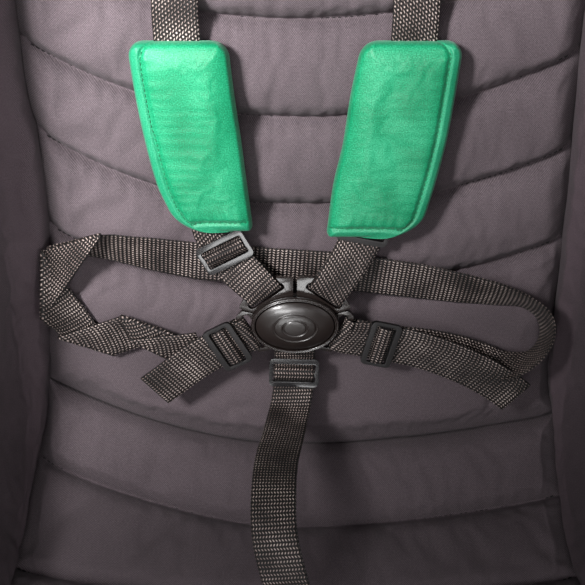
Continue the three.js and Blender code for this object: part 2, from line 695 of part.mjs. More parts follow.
function waistStations() {
  const wl = V(0.48, -0.877, 0);
  const left = [
    station(V(-88, -48, 1), V(0.55, -0.83, 0)),
    station(V(-70, -33, 3), V(0.52, -0.85, 0)),
    station(V(-56, -23.2, 4.6), wl),
    ...overGlide(leftWaistGlide).reverse(),
    ...roundTongue(waistTongueAxes(-1)).reverse(),
    station(leftWaistGlide.at(-8.2, -6), wl),
    station(leftWaistGlide.at(-5, GLIDE_RETURN), wl),
    station(leftWaistGlide.at(9.5, GLIDE_RETURN), wl),
  ];
  const guide = (x, y, z, wx, wy, wz) => station(V(x, y, z), V(wx, wy, wz));
  const run = eased([
    guide(-61, -25, -1.5, 0.45, -0.89, 0),
    guide(-84, -28, -8, 0.1, -0.99, 0.1),
    guide(-110, -22, -8, -0.2, -0.85, 0.5),
    guide(-132, -7, -3, -0.3, -0.3, 0.9),
    guide(-142, 17, -2, -0.2, 0, 0.98),
    guide(-136, 39, -4, -0.2, 0.35, 0.9),
    guide(-116, 46, -10, -0.1, 0.85, 0.5),
    guide(-90, 42, -14.2, 0.05, 1, 0.05),
    guide(-61, 34, -15, 0.05, 1, 0),
    guide(-2, 32, -15.4, 0, 1, 0),
    guide(49, 25, -15.4, 0.05, 1, 0),
    guide(110, 16, -12.4, 0.1, 0.97, 0.2),
    guide(138, 6, -5, 0.1, 0.5, 0.85),
    guide(147, -8, -2, 0.1, 0.1, 0.99),
    guide(142, -24, 1, 0.2, -0.2, 0.95),
    guide(122, -34, -1, 0.1, -0.75, 0.65),
    guide(98, -31, -5, -0.1, -0.98, 0.2),
    guide(76, -22.5, -3, -0.25, -0.96, 0.05),
  ]);
  const wr = rightWaistGlide.w;
  const tongueR = waistTongueAxes(1);
  const right = [
    station(rightWaistGlide.at(9.5, GLIDE_RETURN), wr),
    station(rightWaistGlide.at(-7, GLIDE_RETURN), wr),
    ...roundTongue(tongueR),
    ...overGlide(rightWaistGlide),
    station(V(74, -21, 2.2), V(-0.3, -0.95, 0)),
    station(V(100, -35, 7.5), V(-0.45, -0.89, 0)),
    station(V(124, -50, 9), V(-0.55, -0.83, 0)),
    station(V(139, -60, 7), V(-0.55, -0.83, 0)),
  ];
  return [...left, ...run, ...right];
}

function crotchStations() {
  const start = [
    station(crotchGlide.at(7, GLIDE_RETURN), ACROSS),
    station(crotchGlide.at(-9.5, GLIDE_RETURN), ACROSS),
    station(V(0, -23.4, -10.6), ACROSS),
    station(V(0, -20.5, -11), ACROSS),
    station(V(0, -18, -10), ACROSS),
    station(V(0, -17.2, -7), ACROSS),
    station(V(0, -17.8, -3), ACROSS),
    station(V(0, -20.5, -1.9), ACROSS),
    station(V(0, -23.5, -2.0), ACROSS),
  ];
  const run = eased([
    station(V(-1.2, -50, 4), ACROSS),
    station(V(-3, -56, 14), V(0.98, -0.15, 0)),
    station(V(-6, -60, 34), V(0.97, -0.2, 0)),
    station(V(-10, -62, 62), V(0.98, -0.15, 0)),
    station(V(-12, -68, 96), V(0.99, -0.1, 0)),
    station(V(-11, -86, 122), ACROSS),
    station(V(-5, -110, 134.5), ACROSS),
    station(V(-0.5, -128, 137.2), ACROSS),
    station(V(0, -146, 135.7), ACROSS),
    station(V(0, -172, 132.5), ACROSS),
    station(V(0, -183, 131.2), ACROSS),
    station(V(0, -188.5, 127.6), ACROSS),
    station(V(0, -189.6, 120.6), ACROSS),
    station(V(0, -187, 113.6), ACROSS),
  ], 2);
  return [...start, ...overGlide(crotchGlide), ...run];
}

// ---------- rocking base ----------
const aboutAxis = (r, degrees) => [
  RECLINE_Y + r * Math.sin(rad(degrees)),
  RECLINE_Z - r * Math.cos(rad(degrees)),
];

function arcPoints(r, from, to, count) {
  const points = [];
  for (let i = 0; i <= count; i++) points.push(aboutAxis(r, from + ((to - from) * i) / count));
  return points;
}

// A box about the point at radius r and angle: across x, tangential and radial sizes.
function radialBox(halfX, halfT, r0, r1, degrees) {
  const [y, z] = aboutAxis((r0 + r1) / 2, degrees);
  const a = rad(degrees);
  const geometry = new THREE.BoxGeometry(2 * halfX, 2 * halfT, r1 - r0);
  return geometry.rotateX(a).translate(0, y, z);
}

const LATCH_ANGLE = -30;
const LATCH_OUT = 12; // the bar stands clear of the rockers and rises this far into a notch
const NOTCH_STEP = 6;
const ROD_ANGLES = [-12, 22];
const RECLINE_RANGE = 18;

function rocker(side) {
  const inner = steps([30, 5], [SEAT_STRAIGHT, 6], [385]).map((s) => {
    const { point, normal } = profile(s);
    const p = point.addScaledVector(normal, -SHELL_THICK - 1.2);
    return [p.y, p.z];
  });
  const outline = [...inner, ...arcPoints(ROCKER_RADIUS, 29, -36.5, 22)];
  const [x0, x1] = side < 0 ? [-136, -112] : [112, 136];
  const tools = [];
  for (let k = 0; k <= RECLINE_RANGE / NOTCH_STEP; k++) {
    tools.push(radialBox(200, 5.6, ROCKER_RADIUS - 6.4, ROCKER_RADIUS + 5, LATCH_ANGLE + k * NOTCH_STEP));
  }
  for (const angle of ROD_ANGLES) {
    const [y, z] = aboutAxis(ROD_RADIUS, angle);
    tools.push(rod(4.6, 400, "x").translate(0, y, z));
  }
  return cut(prismX(ordered(outline), x0, x1), tools);
}

function baseBody() {
  const edge = (r) => [
    THREE.MathUtils.radToDeg(Math.asin((BASE_REAR - RECLINE_Y) / r)),
    THREE.MathUtils.radToDeg(Math.asin((BASE_FRONT - RECLINE_Y) / r)),
  ];
  const block = (r, x0, x1) => {
    const [rear, front] = edge(r);
    return prismX(ordered([[BASE_FRONT, 0], [BASE_REAR, 0], ...arcPoints(r, rear, front, 20)]), x0, x1);
  };
  const pocket = (x0, x1) => prismX(ordered([[-165, -1], [180, -1], ...arcPoints(380, 29, -24, 10)]), x0, x1);
  const channel = (x) => box(x - 13.7, x + 13.7, -46, BASE_REAR + 1, 23.6, 56.4);
  const slot = (from, to) => {
    const outline = [...arcPoints(355, from, to, 8), ...arcPoints(345, to, from, 8)];
    return prismX(ordered(outline), -159.6, 159.6);
  };
  const solid = join([
    block(SADDLE_RADIUS, -141, 141),
    block(CHEEK_RADIUS, 140, BASE_HALF),
    block(CHEEK_RADIUS, -BASE_HALF, -140),
  ]);
  return cut(solid, [
    pocket(24, 112),
    pocket(-112, -24),
    channel(ARM_SPACING / 2),
    channel(-ARM_SPACING / 2),
    slot(ROD_ANGLES[0] - RECLINE_RANGE - 1.6, ROD_ANGLES[0] + 1.6),
    slot(ROD_ANGLES[1] - RECLINE_RANGE - 1.6, ROD_ANGLES[1] + 1.6),
    radialBox(139.2, 5.6, 360, 398, LATCH_ANGLE),
    box(-12.6, 12.6, BASE_FRONT - 1, -150, 69.4, 80.6),
  ]);
}

const LATCH_BASE = ROCKER_RADIUS - 5.6 + LATCH_OUT;
function latchBar() {
  return radialBox(136.5, 5, LATCH_BASE, LATCH_BASE + 10, LATCH_ANGLE);
}

function reclineHandle() {
  const grip = box(-48, 48, -265, -253, 60, 90);
  const stem = box(-12, 12, -254, -167, 70, 80);
  const finger = box(-36, -16, -275, -245, 67, 83);
  return cut(join([grip, stem]), [finger, finger.clone().translate(52, 0, 0)]);
}

// ---------- anchor arms ----------
function anchorArm(side) {
  const x = (side * ARM_SPACING) / 2;
  const arm = box(x - 13, x + 13, -40, 245, 24.4, 55.6);
  const tools = [
    box(x - 20, x + 20, 226, 250, 36, 44),
    box(x - 4.4, x + 4.4, 233.6, 240.4, 35, 60),
    box(x - 8.4, x + 8.4, 202, 228, 49.6, 60),
  ];
  return cut(arm, tools);
}

function anchorPawl(side) {
  const x = (side * ARM_SPACING) / 2;
  return box(x - 4, x + 4, 234, 240, 36.6, 54.6);
}

function anchorRelease(side) {
  const x = (side * ARM_SPACING) / 2;
  const ridges = [0, 1, 2].map((k) => box(x - 6, x + 6, 205 + k * 4.4, 207 + k * 4.4, 57, 59.4));
  return join([box(x - 8, x + 8, 202.6, 219, 50, 57.4), ...ridges]);
}

// ---------- headrest, in back-frame coordinates ----------
const HEAD_LOW = 418;
const HEAD_TALL = 180;

function headLayer(n0, n1, inset, rise) {
  const rows = [0, 0.06, 0.2, 0.5, 0.8, 0.94, 1];
  const marks = [0, 0.3, 0.5, 0.62, 0.74, 0.87, 1];
  const columns = [...marks.slice(1).map((t) => -t).reverse(), ...marks];
  return slab(rows.length - 1, columns.length - 1, (i, j, side) => {
    const v = HEAD_LOW + inset + rows[i] * (HEAD_TALL - 2 * inset);
    const corner = Math.pow(Math.abs(2 * rows[i] - 1), 6) * 22;
    const u = columns[j] * (188 - inset - corner * Math.pow(Math.abs(columns[j]), 4));
    const edge = Math.min(rows[i], 1 - rows[i], 1 - Math.abs(columns[j]));
    const n = side ? n0 + (n1 - n0) * (rise ? crown(edge, 0.12) : 1) : n0;
    const [x, h, nx, nh] = section(u, 82, 34, 76);
    return V(x + n * nx, v, 12 + h + n * nh);
  });
}

function headCarriage() {
  return join([box(-9.5, 9.5, 426, 454, -10, 11.6), cut(box(-30, 30, HEAD_LOW, 462, -11, -4.8), [
    box(10, 31, 437.3, 442.7, -8.9, -5.9),
  ])]);
}

function headRack() {
  const notches = [];
  for (let k = 0; k <= 6; k++) notches.push(box(30, 36.4, 437.2 + 20 * k, 442.8 + 20 * k, -12, 0));
  return cut(box(30.6, 44, 420, 572, -9, -4.5), notches);
}

function headHandle() {
  const grip = cut(box(-36, 36, 607.5, 625, 10, 24), [box(-26, 26, 612, 619, 0, 40)]);
  return join([grip, box(-12, 12, 568, 609, 16.4, 18.1)]);
}

// ---------- build ----------
add(seat, "base_body", baseBody(), basePlastic());
for (const [name, angle] of [["guide_rod_front", ROD_ANGLES[0]], ["guide_rod_rear", ROD_ANGLES[1]]]) {
  const [y, z] = aboutAxis(ROD_RADIUS, angle);
  add(seat, name, rod(4, 316, "x", 12).translate(0, y, z), steel());
}
add(seat, "recline_latch_bar", latchBar(), steel());
{
  const [y, z] = aboutAxis(LATCH_BASE + 10.4, LATCH_ANGLE);
  const spring = coil(3.5, 0.8, 10.8, 4).rotateX(Math.PI + rad(LATCH_ANGLE)).translate(0, y, z);
  add(seat, "recline_latch_spring", spring, steel());
}
add(seat, "recline_handle", reclineHandle(), releaseRed());
for (const [name, side] of [["left", -1], ["right", 1]]) {
  add(seat, `anchor_arm_${name}`, anchorArm(side), steel());
  add(seat, `anchor_pawl_${name}`, anchorPawl(side), steel());
  add(seat, `anchor_release_${name}`, anchorRelease(side), releaseRed());
  add(seat, `rocker_${name}`, rocker(side), shellPlastic());
  add(seat, `bolster_${name}`, bolster(side), sideFabric());
}
add(seat, "seat_shell", shellGeometry(), shellPlastic());
add(seat, "back_pad", backPad(), fabric());
add(seat, "seat_pad", seatPad(), fabric());
add(seat, "upper_back_pad", upperBackPad(), fabric());

add(backFrame, "headrest_shell", headLayer(0, 4, 0, false), shellPlastic());
add(backFrame, "headrest_pad", headLayer(6.6, 28, 3, true), fabric());
add(backFrame, "headrest_carriage", headCarriage(), shellPlastic());
add(backFrame, "headrest_rack", headRack(), shellPlastic());
add(backFrame, "headrest_handle", headHandle(), releaseRed());
add(backFrame, "headrest_latch_pin", box(11.2, 30.2, 438, 442, -8.6, -6.2), steel());

add(harness, "shoulder_anchor_bar", box(-88, 88, 184, 195.5, -55.6, -50.4), steel());
add(harness, "crotch_anchor_bar", box(-28, 28, -184, -178, 115.6, 127.4), steel());
for (const [name, side] of [["left", -1], ["right", 1]]) {
  add(harness, `shoulder_strap_${name}`, ribbon(shoulderStations(side)), webbing());
  add(harness, `shoulder_pad_${name}`, shoulderPad(side), satinGreen());
  add(harness, `shoulder_tongue_${name}`, shoulderTongue(side), satinBuckle());
  add(harness, `waist_tongue_${name}`, waistTongue(side), satinBuckle());
}
add(harness, "waist_belt", ribbon(waistStations()), webbing());
add(harness, "crotch_strap", ribbon(crotchStations()), webbing());
placeGlide("tri_glide_shoulder_left", leftGlide);
placeGlide("tri_glide_shoulder_right", rightGlide);
placeGlide("tri_glide_waist_left", leftWaistGlide);
placeGlide("tri_glide_waist_right", rightWaistGlide);
placeGlide("tri_glide_crotch", crotchGlide);
add(harness, "buckle_housing", buckleHousing(), satinBuckle());
add(harness, "buckle_ring", buckleRing(), satinBuckle());
add(harness, "buckle_button", buckleButton(), satinBuckle());
add(harness, "buckle_latch_plate", latchPlate(), steel());
add(harness, "buckle_spring", coil(3.6, 0.7, 7, 3).translate(0, 0, -7.8), steel());

export default seat;
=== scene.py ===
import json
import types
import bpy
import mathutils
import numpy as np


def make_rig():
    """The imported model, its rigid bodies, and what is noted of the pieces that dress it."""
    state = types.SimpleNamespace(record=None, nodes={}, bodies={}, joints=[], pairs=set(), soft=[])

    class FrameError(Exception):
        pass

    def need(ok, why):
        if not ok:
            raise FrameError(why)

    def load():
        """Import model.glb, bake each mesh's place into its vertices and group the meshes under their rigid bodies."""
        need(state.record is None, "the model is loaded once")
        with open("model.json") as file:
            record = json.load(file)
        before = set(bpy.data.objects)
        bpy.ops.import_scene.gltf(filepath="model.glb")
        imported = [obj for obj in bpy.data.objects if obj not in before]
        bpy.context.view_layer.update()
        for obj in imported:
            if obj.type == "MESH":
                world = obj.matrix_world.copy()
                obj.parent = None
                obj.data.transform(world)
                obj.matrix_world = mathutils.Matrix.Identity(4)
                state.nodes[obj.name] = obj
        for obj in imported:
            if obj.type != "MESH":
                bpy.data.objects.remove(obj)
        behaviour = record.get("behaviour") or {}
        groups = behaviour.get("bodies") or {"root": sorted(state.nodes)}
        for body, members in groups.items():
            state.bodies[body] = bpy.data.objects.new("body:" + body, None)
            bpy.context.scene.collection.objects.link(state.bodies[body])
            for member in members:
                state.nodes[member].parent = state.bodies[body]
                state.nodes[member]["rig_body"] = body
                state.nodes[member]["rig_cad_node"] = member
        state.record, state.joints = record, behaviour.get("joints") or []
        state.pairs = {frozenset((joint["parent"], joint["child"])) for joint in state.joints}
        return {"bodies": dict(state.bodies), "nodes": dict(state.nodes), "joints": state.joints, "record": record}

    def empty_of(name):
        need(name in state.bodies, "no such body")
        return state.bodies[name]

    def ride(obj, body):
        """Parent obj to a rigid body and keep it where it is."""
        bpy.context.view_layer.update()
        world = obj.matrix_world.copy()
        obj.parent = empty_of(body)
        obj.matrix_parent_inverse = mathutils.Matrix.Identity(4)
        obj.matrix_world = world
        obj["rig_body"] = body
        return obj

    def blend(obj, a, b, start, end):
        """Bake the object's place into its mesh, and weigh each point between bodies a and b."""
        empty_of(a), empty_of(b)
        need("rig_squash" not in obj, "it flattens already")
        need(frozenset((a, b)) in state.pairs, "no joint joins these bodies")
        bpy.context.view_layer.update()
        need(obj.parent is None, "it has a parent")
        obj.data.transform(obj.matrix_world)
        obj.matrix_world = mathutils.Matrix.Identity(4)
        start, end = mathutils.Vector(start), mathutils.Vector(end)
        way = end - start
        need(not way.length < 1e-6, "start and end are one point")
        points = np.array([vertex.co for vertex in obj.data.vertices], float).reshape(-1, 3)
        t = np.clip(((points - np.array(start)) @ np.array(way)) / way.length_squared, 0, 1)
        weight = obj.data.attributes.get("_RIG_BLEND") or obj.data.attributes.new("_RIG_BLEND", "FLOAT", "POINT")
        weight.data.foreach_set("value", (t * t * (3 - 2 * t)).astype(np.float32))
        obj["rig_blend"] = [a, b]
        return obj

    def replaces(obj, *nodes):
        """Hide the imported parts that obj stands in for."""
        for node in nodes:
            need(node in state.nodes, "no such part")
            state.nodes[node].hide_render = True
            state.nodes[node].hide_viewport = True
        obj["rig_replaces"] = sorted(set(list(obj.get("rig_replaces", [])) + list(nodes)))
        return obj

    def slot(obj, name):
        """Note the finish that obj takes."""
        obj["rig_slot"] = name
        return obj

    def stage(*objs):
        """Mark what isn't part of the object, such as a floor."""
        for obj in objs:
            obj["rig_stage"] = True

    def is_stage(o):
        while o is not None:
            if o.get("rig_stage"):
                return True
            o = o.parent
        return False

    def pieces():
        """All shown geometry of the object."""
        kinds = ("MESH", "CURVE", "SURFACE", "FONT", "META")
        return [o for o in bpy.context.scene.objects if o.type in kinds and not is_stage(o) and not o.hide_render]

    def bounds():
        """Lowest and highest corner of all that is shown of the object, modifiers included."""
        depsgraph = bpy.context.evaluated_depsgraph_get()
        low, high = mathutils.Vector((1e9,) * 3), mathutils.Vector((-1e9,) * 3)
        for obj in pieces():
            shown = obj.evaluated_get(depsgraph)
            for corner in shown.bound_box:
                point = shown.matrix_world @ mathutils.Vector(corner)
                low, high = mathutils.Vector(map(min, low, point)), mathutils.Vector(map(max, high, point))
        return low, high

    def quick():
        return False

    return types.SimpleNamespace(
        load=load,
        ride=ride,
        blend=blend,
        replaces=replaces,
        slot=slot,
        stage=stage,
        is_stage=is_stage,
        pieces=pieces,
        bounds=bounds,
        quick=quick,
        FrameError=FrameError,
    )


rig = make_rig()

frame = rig.load()

import json
import math

import bmesh
import bpy
import numpy as np
from mathutils import Matrix, Vector

cad_box = [list(corner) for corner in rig.bounds()]
MM = 0.001
SIDES = (("left", -1), ("right", 1))

# ---------- the bucket surface, in millimetres ----------
SEAT_SLOPE, BACK_LEAN = math.radians(15), math.radians(22)
SEAT_DEPTH, BACK_HEIGHT = 330.0, 600.0
CREASE_RADIUS, NOSE_RADIUS = 110.0, 35.0
FLAT_HALF, CORNER_RADIUS, WALL = 160.0, 40.0, math.radians(82)
BUCKLE_UP, BUCKLE_OUT = 143.6, 45.5
TURN = math.pi / 2 - BACK_LEAN + SEAT_SLOPE
TANGENT = CREASE_RADIUS * math.tan(TURN / 2)
SEAT_STRAIGHT = SEAT_DEPTH - TANGENT
CREASE_END = SEAT_STRAIGHT + CREASE_RADIUS * TURN
PROFILE_END = CREASE_END + BACK_HEIGHT - TANGENT
NOSE_ARC = NOSE_RADIUS * math.pi / 2
CORNER = np.array([0.0, 90.0, 140.0])
SEAT_DIR = np.array([0, math.cos(SEAT_SLOPE), -math.sin(SEAT_SLOPE)])
SEAT_NORMAL = np.array([0, math.sin(SEAT_SLOPE), math.cos(SEAT_SLOPE)])
BACK_DIR = np.array([0, math.sin(BACK_LEAN), math.cos(BACK_LEAN)])
BACK_NORMAL = np.array([0, -math.cos(BACK_LEAN), math.sin(BACK_LEAN)])
NORMAL_START = math.pi / 2 - SEAT_SLOPE
WING_TURN_FROM, WING_TURN_OVER = 112.5, 400.0
WING_HEIGHT = [
    (-55, 26), (0, 58), (150, 112), (312, 164), (430, 150), (600, 150), (750, 168), (850, 150), (895, 104),
]


def clamp(x):
    return min(1.0, max(0.0, x))


def fade(distance, reach):
    """1 at no distance, falling evenly to 0 at the reach."""
    return max(0.0, 1 - distance / reach)


def ease(t):
    """From 0 to 1 with a level start and end."""
    return t * t * (3 - 2 * t)


def bell(x, width):
    return math.exp(-((x / width) ** 2))


def quarter_round(distance, radius):
    """Height, 0 to 1, of a rounded edge at a distance in from it."""
    return math.sqrt(max(0.0, 1 - fade(distance, radius) ** 2))


def unit(v):
    return v / np.maximum(np.linalg.norm(v, axis=-1, keepdims=True), 1e-9)


def run_lengths(points):
    """Distance along a line of points, from its first."""
    return np.concatenate([[0], np.cumsum(np.linalg.norm(np.diff(points, axis=0), axis=1))])


def hermite(t, a, slope_a, b, slope_b):
    return ((2 * t**3 - 3 * t**2 + 1) * a + (t**3 - 2 * t**2 + t) * slope_a
            + (3 * t**2 - 2 * t**3) * b + (t**3 - t**2) * slope_b)


def facing(a):
    return np.array([0, math.cos(a), math.sin(a)])


def profile(s):
    front = CORNER - SEAT_DEPTH * SEAT_DIR
    if s < 0:
        normal = facing(NORMAL_START - s / NOSE_RADIUS)
        return front - NOSE_RADIUS * SEAT_NORMAL + NOSE_RADIUS * normal, normal
    if s < SEAT_STRAIGHT:
        return front + s * SEAT_DIR, SEAT_NORMAL
    if s < CREASE_END:
        normal = facing(NORMAL_START + (s - SEAT_STRAIGHT) / CREASE_RADIUS)
        centre = front + SEAT_STRAIGHT * SEAT_DIR + CREASE_RADIUS * SEAT_NORMAL
        return centre - CREASE_RADIUS * normal, normal
    return CORNER + (TANGENT + s - CREASE_END) * BACK_DIR, BACK_NORMAL


def wing_direction(s):
    if s < 0:
        return profile(s)[1]
    return facing(NORMAL_START + TURN * clamp((s - WING_TURN_FROM) / WING_TURN_OVER))


def through(keys, s):
    """Smooth curve through (position, value) pairs."""
    if s <= keys[0][0]:
        return keys[0][1]
    for i in range(len(keys) - 1):
        (a, va), (b, vb) = keys[i], keys[i + 1]
        if s > b:
            continue
        before, after = keys[max(0, i - 1)], keys[min(len(keys) - 1, i + 2)]
        h = b - a
        ma, mb = (vb - before[1]) / (b - before[0]) * h, (after[1] - va) / (after[0] - a) * h
        return hermite((s - a) / h, va, ma, vb, mb)
    return keys[-1][1]


CORNER_ARC = CORNER_RADIUS * WALL
CORNER_RISE = CORNER_RADIUS * (1 - math.cos(WALL))


def rim(s):
    height = through(WING_HEIGHT, s)
    if height < CORNER_RISE:
        return FLAT_HALF + CORNER_RADIUS * math.acos(1 - height / CORNER_RADIUS)
    return FLAT_HALF + CORNER_ARC + (height - CORNER_RISE) / math.sin(WALL)


def section(u, flat=FLAT_HALF, radius=CORNER_RADIUS, wall=WALL):
    side = -1.0 if u < 0 else 1.0
    d = abs(u) - flat
    if d < 0:
        return u, 0.0, 0.0, 1.0
    a = min(d / radius, wall)
    rest = max(0.0, d - radius * wall)
    x = flat + radius * math.sin(a) + rest * math.cos(a)
    h = radius * (1 - math.cos(a)) + rest * math.sin(a)
    return side * x, h, -side * math.sin(a), math.cos(a)


def bucket(s, u, n):
    x, h, nx, nh = section(u)
    p = profile(s)[0] + (h + n * nh) * wing_direction(s)
    return np.array([x + n * nx, p[1], p[2]])


LEAN = 0.17  # the buckle side of the harness rides up the back by this much per millimetre off the pad
LEAN_FROM = -14.0


def harness(points):
    """Harness coordinates (across, up the back, towards the child, from the buckle) to row millimetres."""
    q = np.asarray(points, float)
    up = q[..., 1:2] + LEAN * (q[..., 2:3] - LEAN_FROM)
    out = CORNER + (BUCKLE_UP + up) * BACK_DIR + (BUCKLE_OUT + q[..., 2:3]) * BACK_NORMAL
    out[..., 0] = q[..., 0]
    return out


HARNESS = Matrix((
    (1, 0, 0, 0), (0, BACK_DIR[1], BACK_NORMAL[1], 0), (0, BACK_DIR[2], BACK_NORMAL[2], 0), (0, 0, 0, 1)))
HARNESS.translation = Vector(CORNER + BUCKLE_UP * BACK_DIR + BUCKLE_OUT * BACK_NORMAL) * MM
HARNESS @= Matrix(((1, 0, 0, 0), (0, 1, LEAN, -LEAN * LEAN_FROM * MM), (0, 0, 1, 0), (0, 0, 0, 1)))


# ---------- meshes ----------
def add_object(name, data):
    obj = bpy.data.objects.new(name, data)
    bpy.context.scene.collection.objects.link(obj)
    return obj


def make(name, points, faces, uv=None):
    """A smooth mesh; points and uv in millimetres."""
    mesh = bpy.data.meshes.new(name)
    mesh.from_pydata([tuple(p) for p in np.asarray(points, float) * MM], [], [tuple(f) for f in faces])
    if uv is not None:
        layer = mesh.uv_layers.new(name="UVMap")
        index = np.empty(len(mesh.loops), np.int32)
        mesh.loops.foreach_get("vertex_index", index)
        layer.data.foreach_set("uv", (np.asarray(uv, float)[index] * MM).astype(np.float32).ravel())
    mesh.polygons.foreach_set("use_smooth", [True] * len(mesh.polygons))
    mesh.update()
    return add_object(name, mesh)


def grid_faces(rows, columns, loop=False):
    """Quads of a grid of points; loop joins its last column to its first."""
    faces = []
    for i in range(rows - 1):
        here, above = i * columns, (i + 1) * columns
        for j in range(columns if loop else columns - 1):
            k = (j + 1) % columns
            faces.append((here + j, here + k, above + k, above + j))
    return faces


def blank(rows, columns):
    """Empty grids of points, uv and pins."""
    return np.zeros((rows, columns, 3)), np.zeros((rows, columns, 2)), np.zeros((rows, columns))


def sheet(name, points, uv, flip=False):
    rows, columns = points.shape[:2]
    faces = grid_faces(rows, columns)
    if flip:
        faces = [f[::-1] for f in faces]
    return make(name, points.reshape(-1, 3), faces, uv.reshape(-1, 2))


def join(name, parts):
    """One mesh from several, keeping their places."""
    bpy.ops.object.select_all(action="DESELECT")
    for p in parts:
        p.select_set(True)
    bpy.context.view_layer.objects.active = parts[0]
    bpy.ops.object.join()
    parts[0].name = name
    parts[0].data.name = name
    return parts[0]


def modify(obj, kind, **settings):
    m = obj.modifiers.new(kind.lower(), kind)
    for k, v in settings.items():
        setattr(m, k, v)
    return m


def smooth_by_angle(obj, degrees):
    obj.data.polygons.foreach_set("use_smooth", [True] * len(obj.data.polygons))
    obj.data.set_sharp_from_angle(angle=math.radians(degrees))


def wear(obj, material, body, *nodes, bend=None):
    """Gives a material, its slot, a body and the CAD nodes replaced. bend: (other body, start, end)."""
    obj.data.materials.clear()
    obj.data.materials.append(material)
    if bend:
        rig.blend(obj, body, *bend)
    else:
        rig.ride(obj, body)
    if nodes:
        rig.replaces(obj, *nodes)
    if material in SLOTS:
        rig.slot(obj, SLOTS[material])
    return obj


def value_noise(x, y, seed):
    """Smooth repeatable noise in -1..1 on arrays."""
    def corner(i, j):
        h = np.sin(i * 127.1 + j * 311.7 + seed * 74.7) * 43758.5453
        return (h - np.floor(h)) * 2 - 1
    x0, y0 = np.floor(x), np.floor(y)
    fx, fy = ease(x - x0), ease(y - y0)
    a = corner(x0, y0) * (1 - fx) + corner(x0 + 1, y0) * fx
    b = corner(x0, y0 + 1) * (1 - fx) + corner(x0 + 1, y0 + 1) * fx
    return a * (1 - fy) + b * fy


def coordinates(vertices, what="co"):
    out = np.empty(len(vertices) * 3)
    vertices.foreach_get(what, out)
    return out.reshape(-1, 3)


def inflate(obj, pinned, pressure, cap, slack, frames=14):
    """Cloth pressure lifts the cover between its pinned seams; each vertex moves at most cap metres."""
    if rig.quick():
        return
    rest = coordinates(obj.data.vertices)
    group = obj.vertex_groups.new(name="pinned")
    pinned = np.round(pinned, 1)
    for weight in np.unique(pinned):
        if weight > 0:
            group.add([int(i) for i in np.nonzero(pinned == weight)[0]], float(weight), "REPLACE")
    cloth = obj.modifiers.new("cloth", "CLOTH")
    s = cloth.settings
    s.quality, s.mass, s.air_damping = 6, 0.15, 4
    s.tension_stiffness = s.compression_stiffness = 12.0
    s.shear_stiffness, s.bending_stiffness = 6.0, 0.3
    s.use_pressure, s.uniform_pressure_force = True, pressure
    s.vertex_group_mass = "pinned"
    s.shrink_min = -slack
    s.effector_weights.gravity = 0
    cloth.collision_settings.use_collision = False
    cloth.point_cache.frame_start, cloth.point_cache.frame_end = 1, frames
    for f in range(1, frames + 1):
        bpy.context.scene.frame_set(f)
    puffed = obj.evaluated_get(bpy.context.evaluated_depsgraph_get()).data
    shift = coordinates(puffed.vertices) - rest
    shift *= np.minimum(1, cap / np.maximum(np.linalg.norm(shift, axis=1, keepdims=True), 1e-9))
    obj.modifiers.remove(cloth)
    obj.data.vertices.foreach_set("co", (rest + shift).ravel())
    obj.data.update()
    bpy.context.scene.frame_set(1)


# ---------- materials ----------
def srgb(r, g, b):
    return tuple(((c / 255) ** 2.2) for c in (r, g, b)) + (1.0,)


class Value:
    """A node's output that can be added, multiplied and so on, each step a math node."""

    def __init__(self, look, socket):
        self.look, self.socket = look, socket

    def step(self, op, other=None):
        n = self.look.node("Math", operation=op)
        self.look.link(self, n.inputs[0])
        if isinstance(other, Value):
            self.look.link(other, n.inputs[1])
        elif other is not None:
            n.inputs[1].default_value = other
        return Value(self.look, n.outputs[0])

    def __add__(self, other):
        return self.step("ADD", other)

    def __sub__(self, other):
        return self.step("SUBTRACT", other)

    def __mul__(self, other):
        return self.step("MULTIPLY", other)

    def __truediv__(self, other):
        return self.step("DIVIDE", other)


class Look:
    """A Principled material with a few short helpers for its node tree."""

    def __init__(self, name, color, rough, metallic=0.0):
        self.mat = bpy.data.materials.new(name)
        self.mat.use_nodes = True
        self.tree = self.mat.node_tree
        self.inputs = self.tree.nodes["Principled BSDF"].inputs
        self.set({"Base Color": color, "Roughness": rough, "Metallic": metallic})
        self.coords = self.node("TexCoord").outputs

    def set(self, values):
        for k, v in values.items():
            self.inputs[k].default_value = v

    def node(self, kind, **inputs):
        n = self.tree.nodes.new("ShaderNode" + kind)
        for k, v in inputs.items():
            if hasattr(n, k):
                setattr(n, k, v)
            else:
                n.inputs[k].default_value = v
        return n

    def link(self, a, b):
        self.tree.links.new(a.socket if isinstance(a, Value) else a, b)

    def noise(self, scale, detail=3.0, coord="Object"):
        n = self.node("TexNoise", Scale=scale, Detail=detail, Roughness=0.55)
        self.link(self.coords[coord], n.inputs["Vector"])
        return Value(self, n.outputs["Fac"])

    def uv(self):
        n = self.node("SeparateXYZ")
        self.link(self.coords["UV"], n.inputs[0])
        return Value(self, n.outputs[0]), Value(self, n.outputs[1])

    def ramp(self, fac, stops):
        n = self.node("ValToRGB")
        elements = n.color_ramp.elements
        while len(elements) < len(stops):
            elements.new(0.5)
        for e, (at, color) in zip(elements, stops):
            e.position = at
            e.color = (*color[:3], 1)
        self.link(fac, n.inputs[0])
        self.link(n.outputs[0], self.inputs["Base Color"])

    def bump(self, height, strength, distance):
        n = self.node("Bump", Strength=strength, Distance=distance)
        self.link(height, n.inputs["Height"])
        for earlier in self.inputs["Normal"].links:
            self.link(earlier.from_socket, n.inputs["Normal"])
        self.link(n.outputs[0], self.inputs["Normal"])


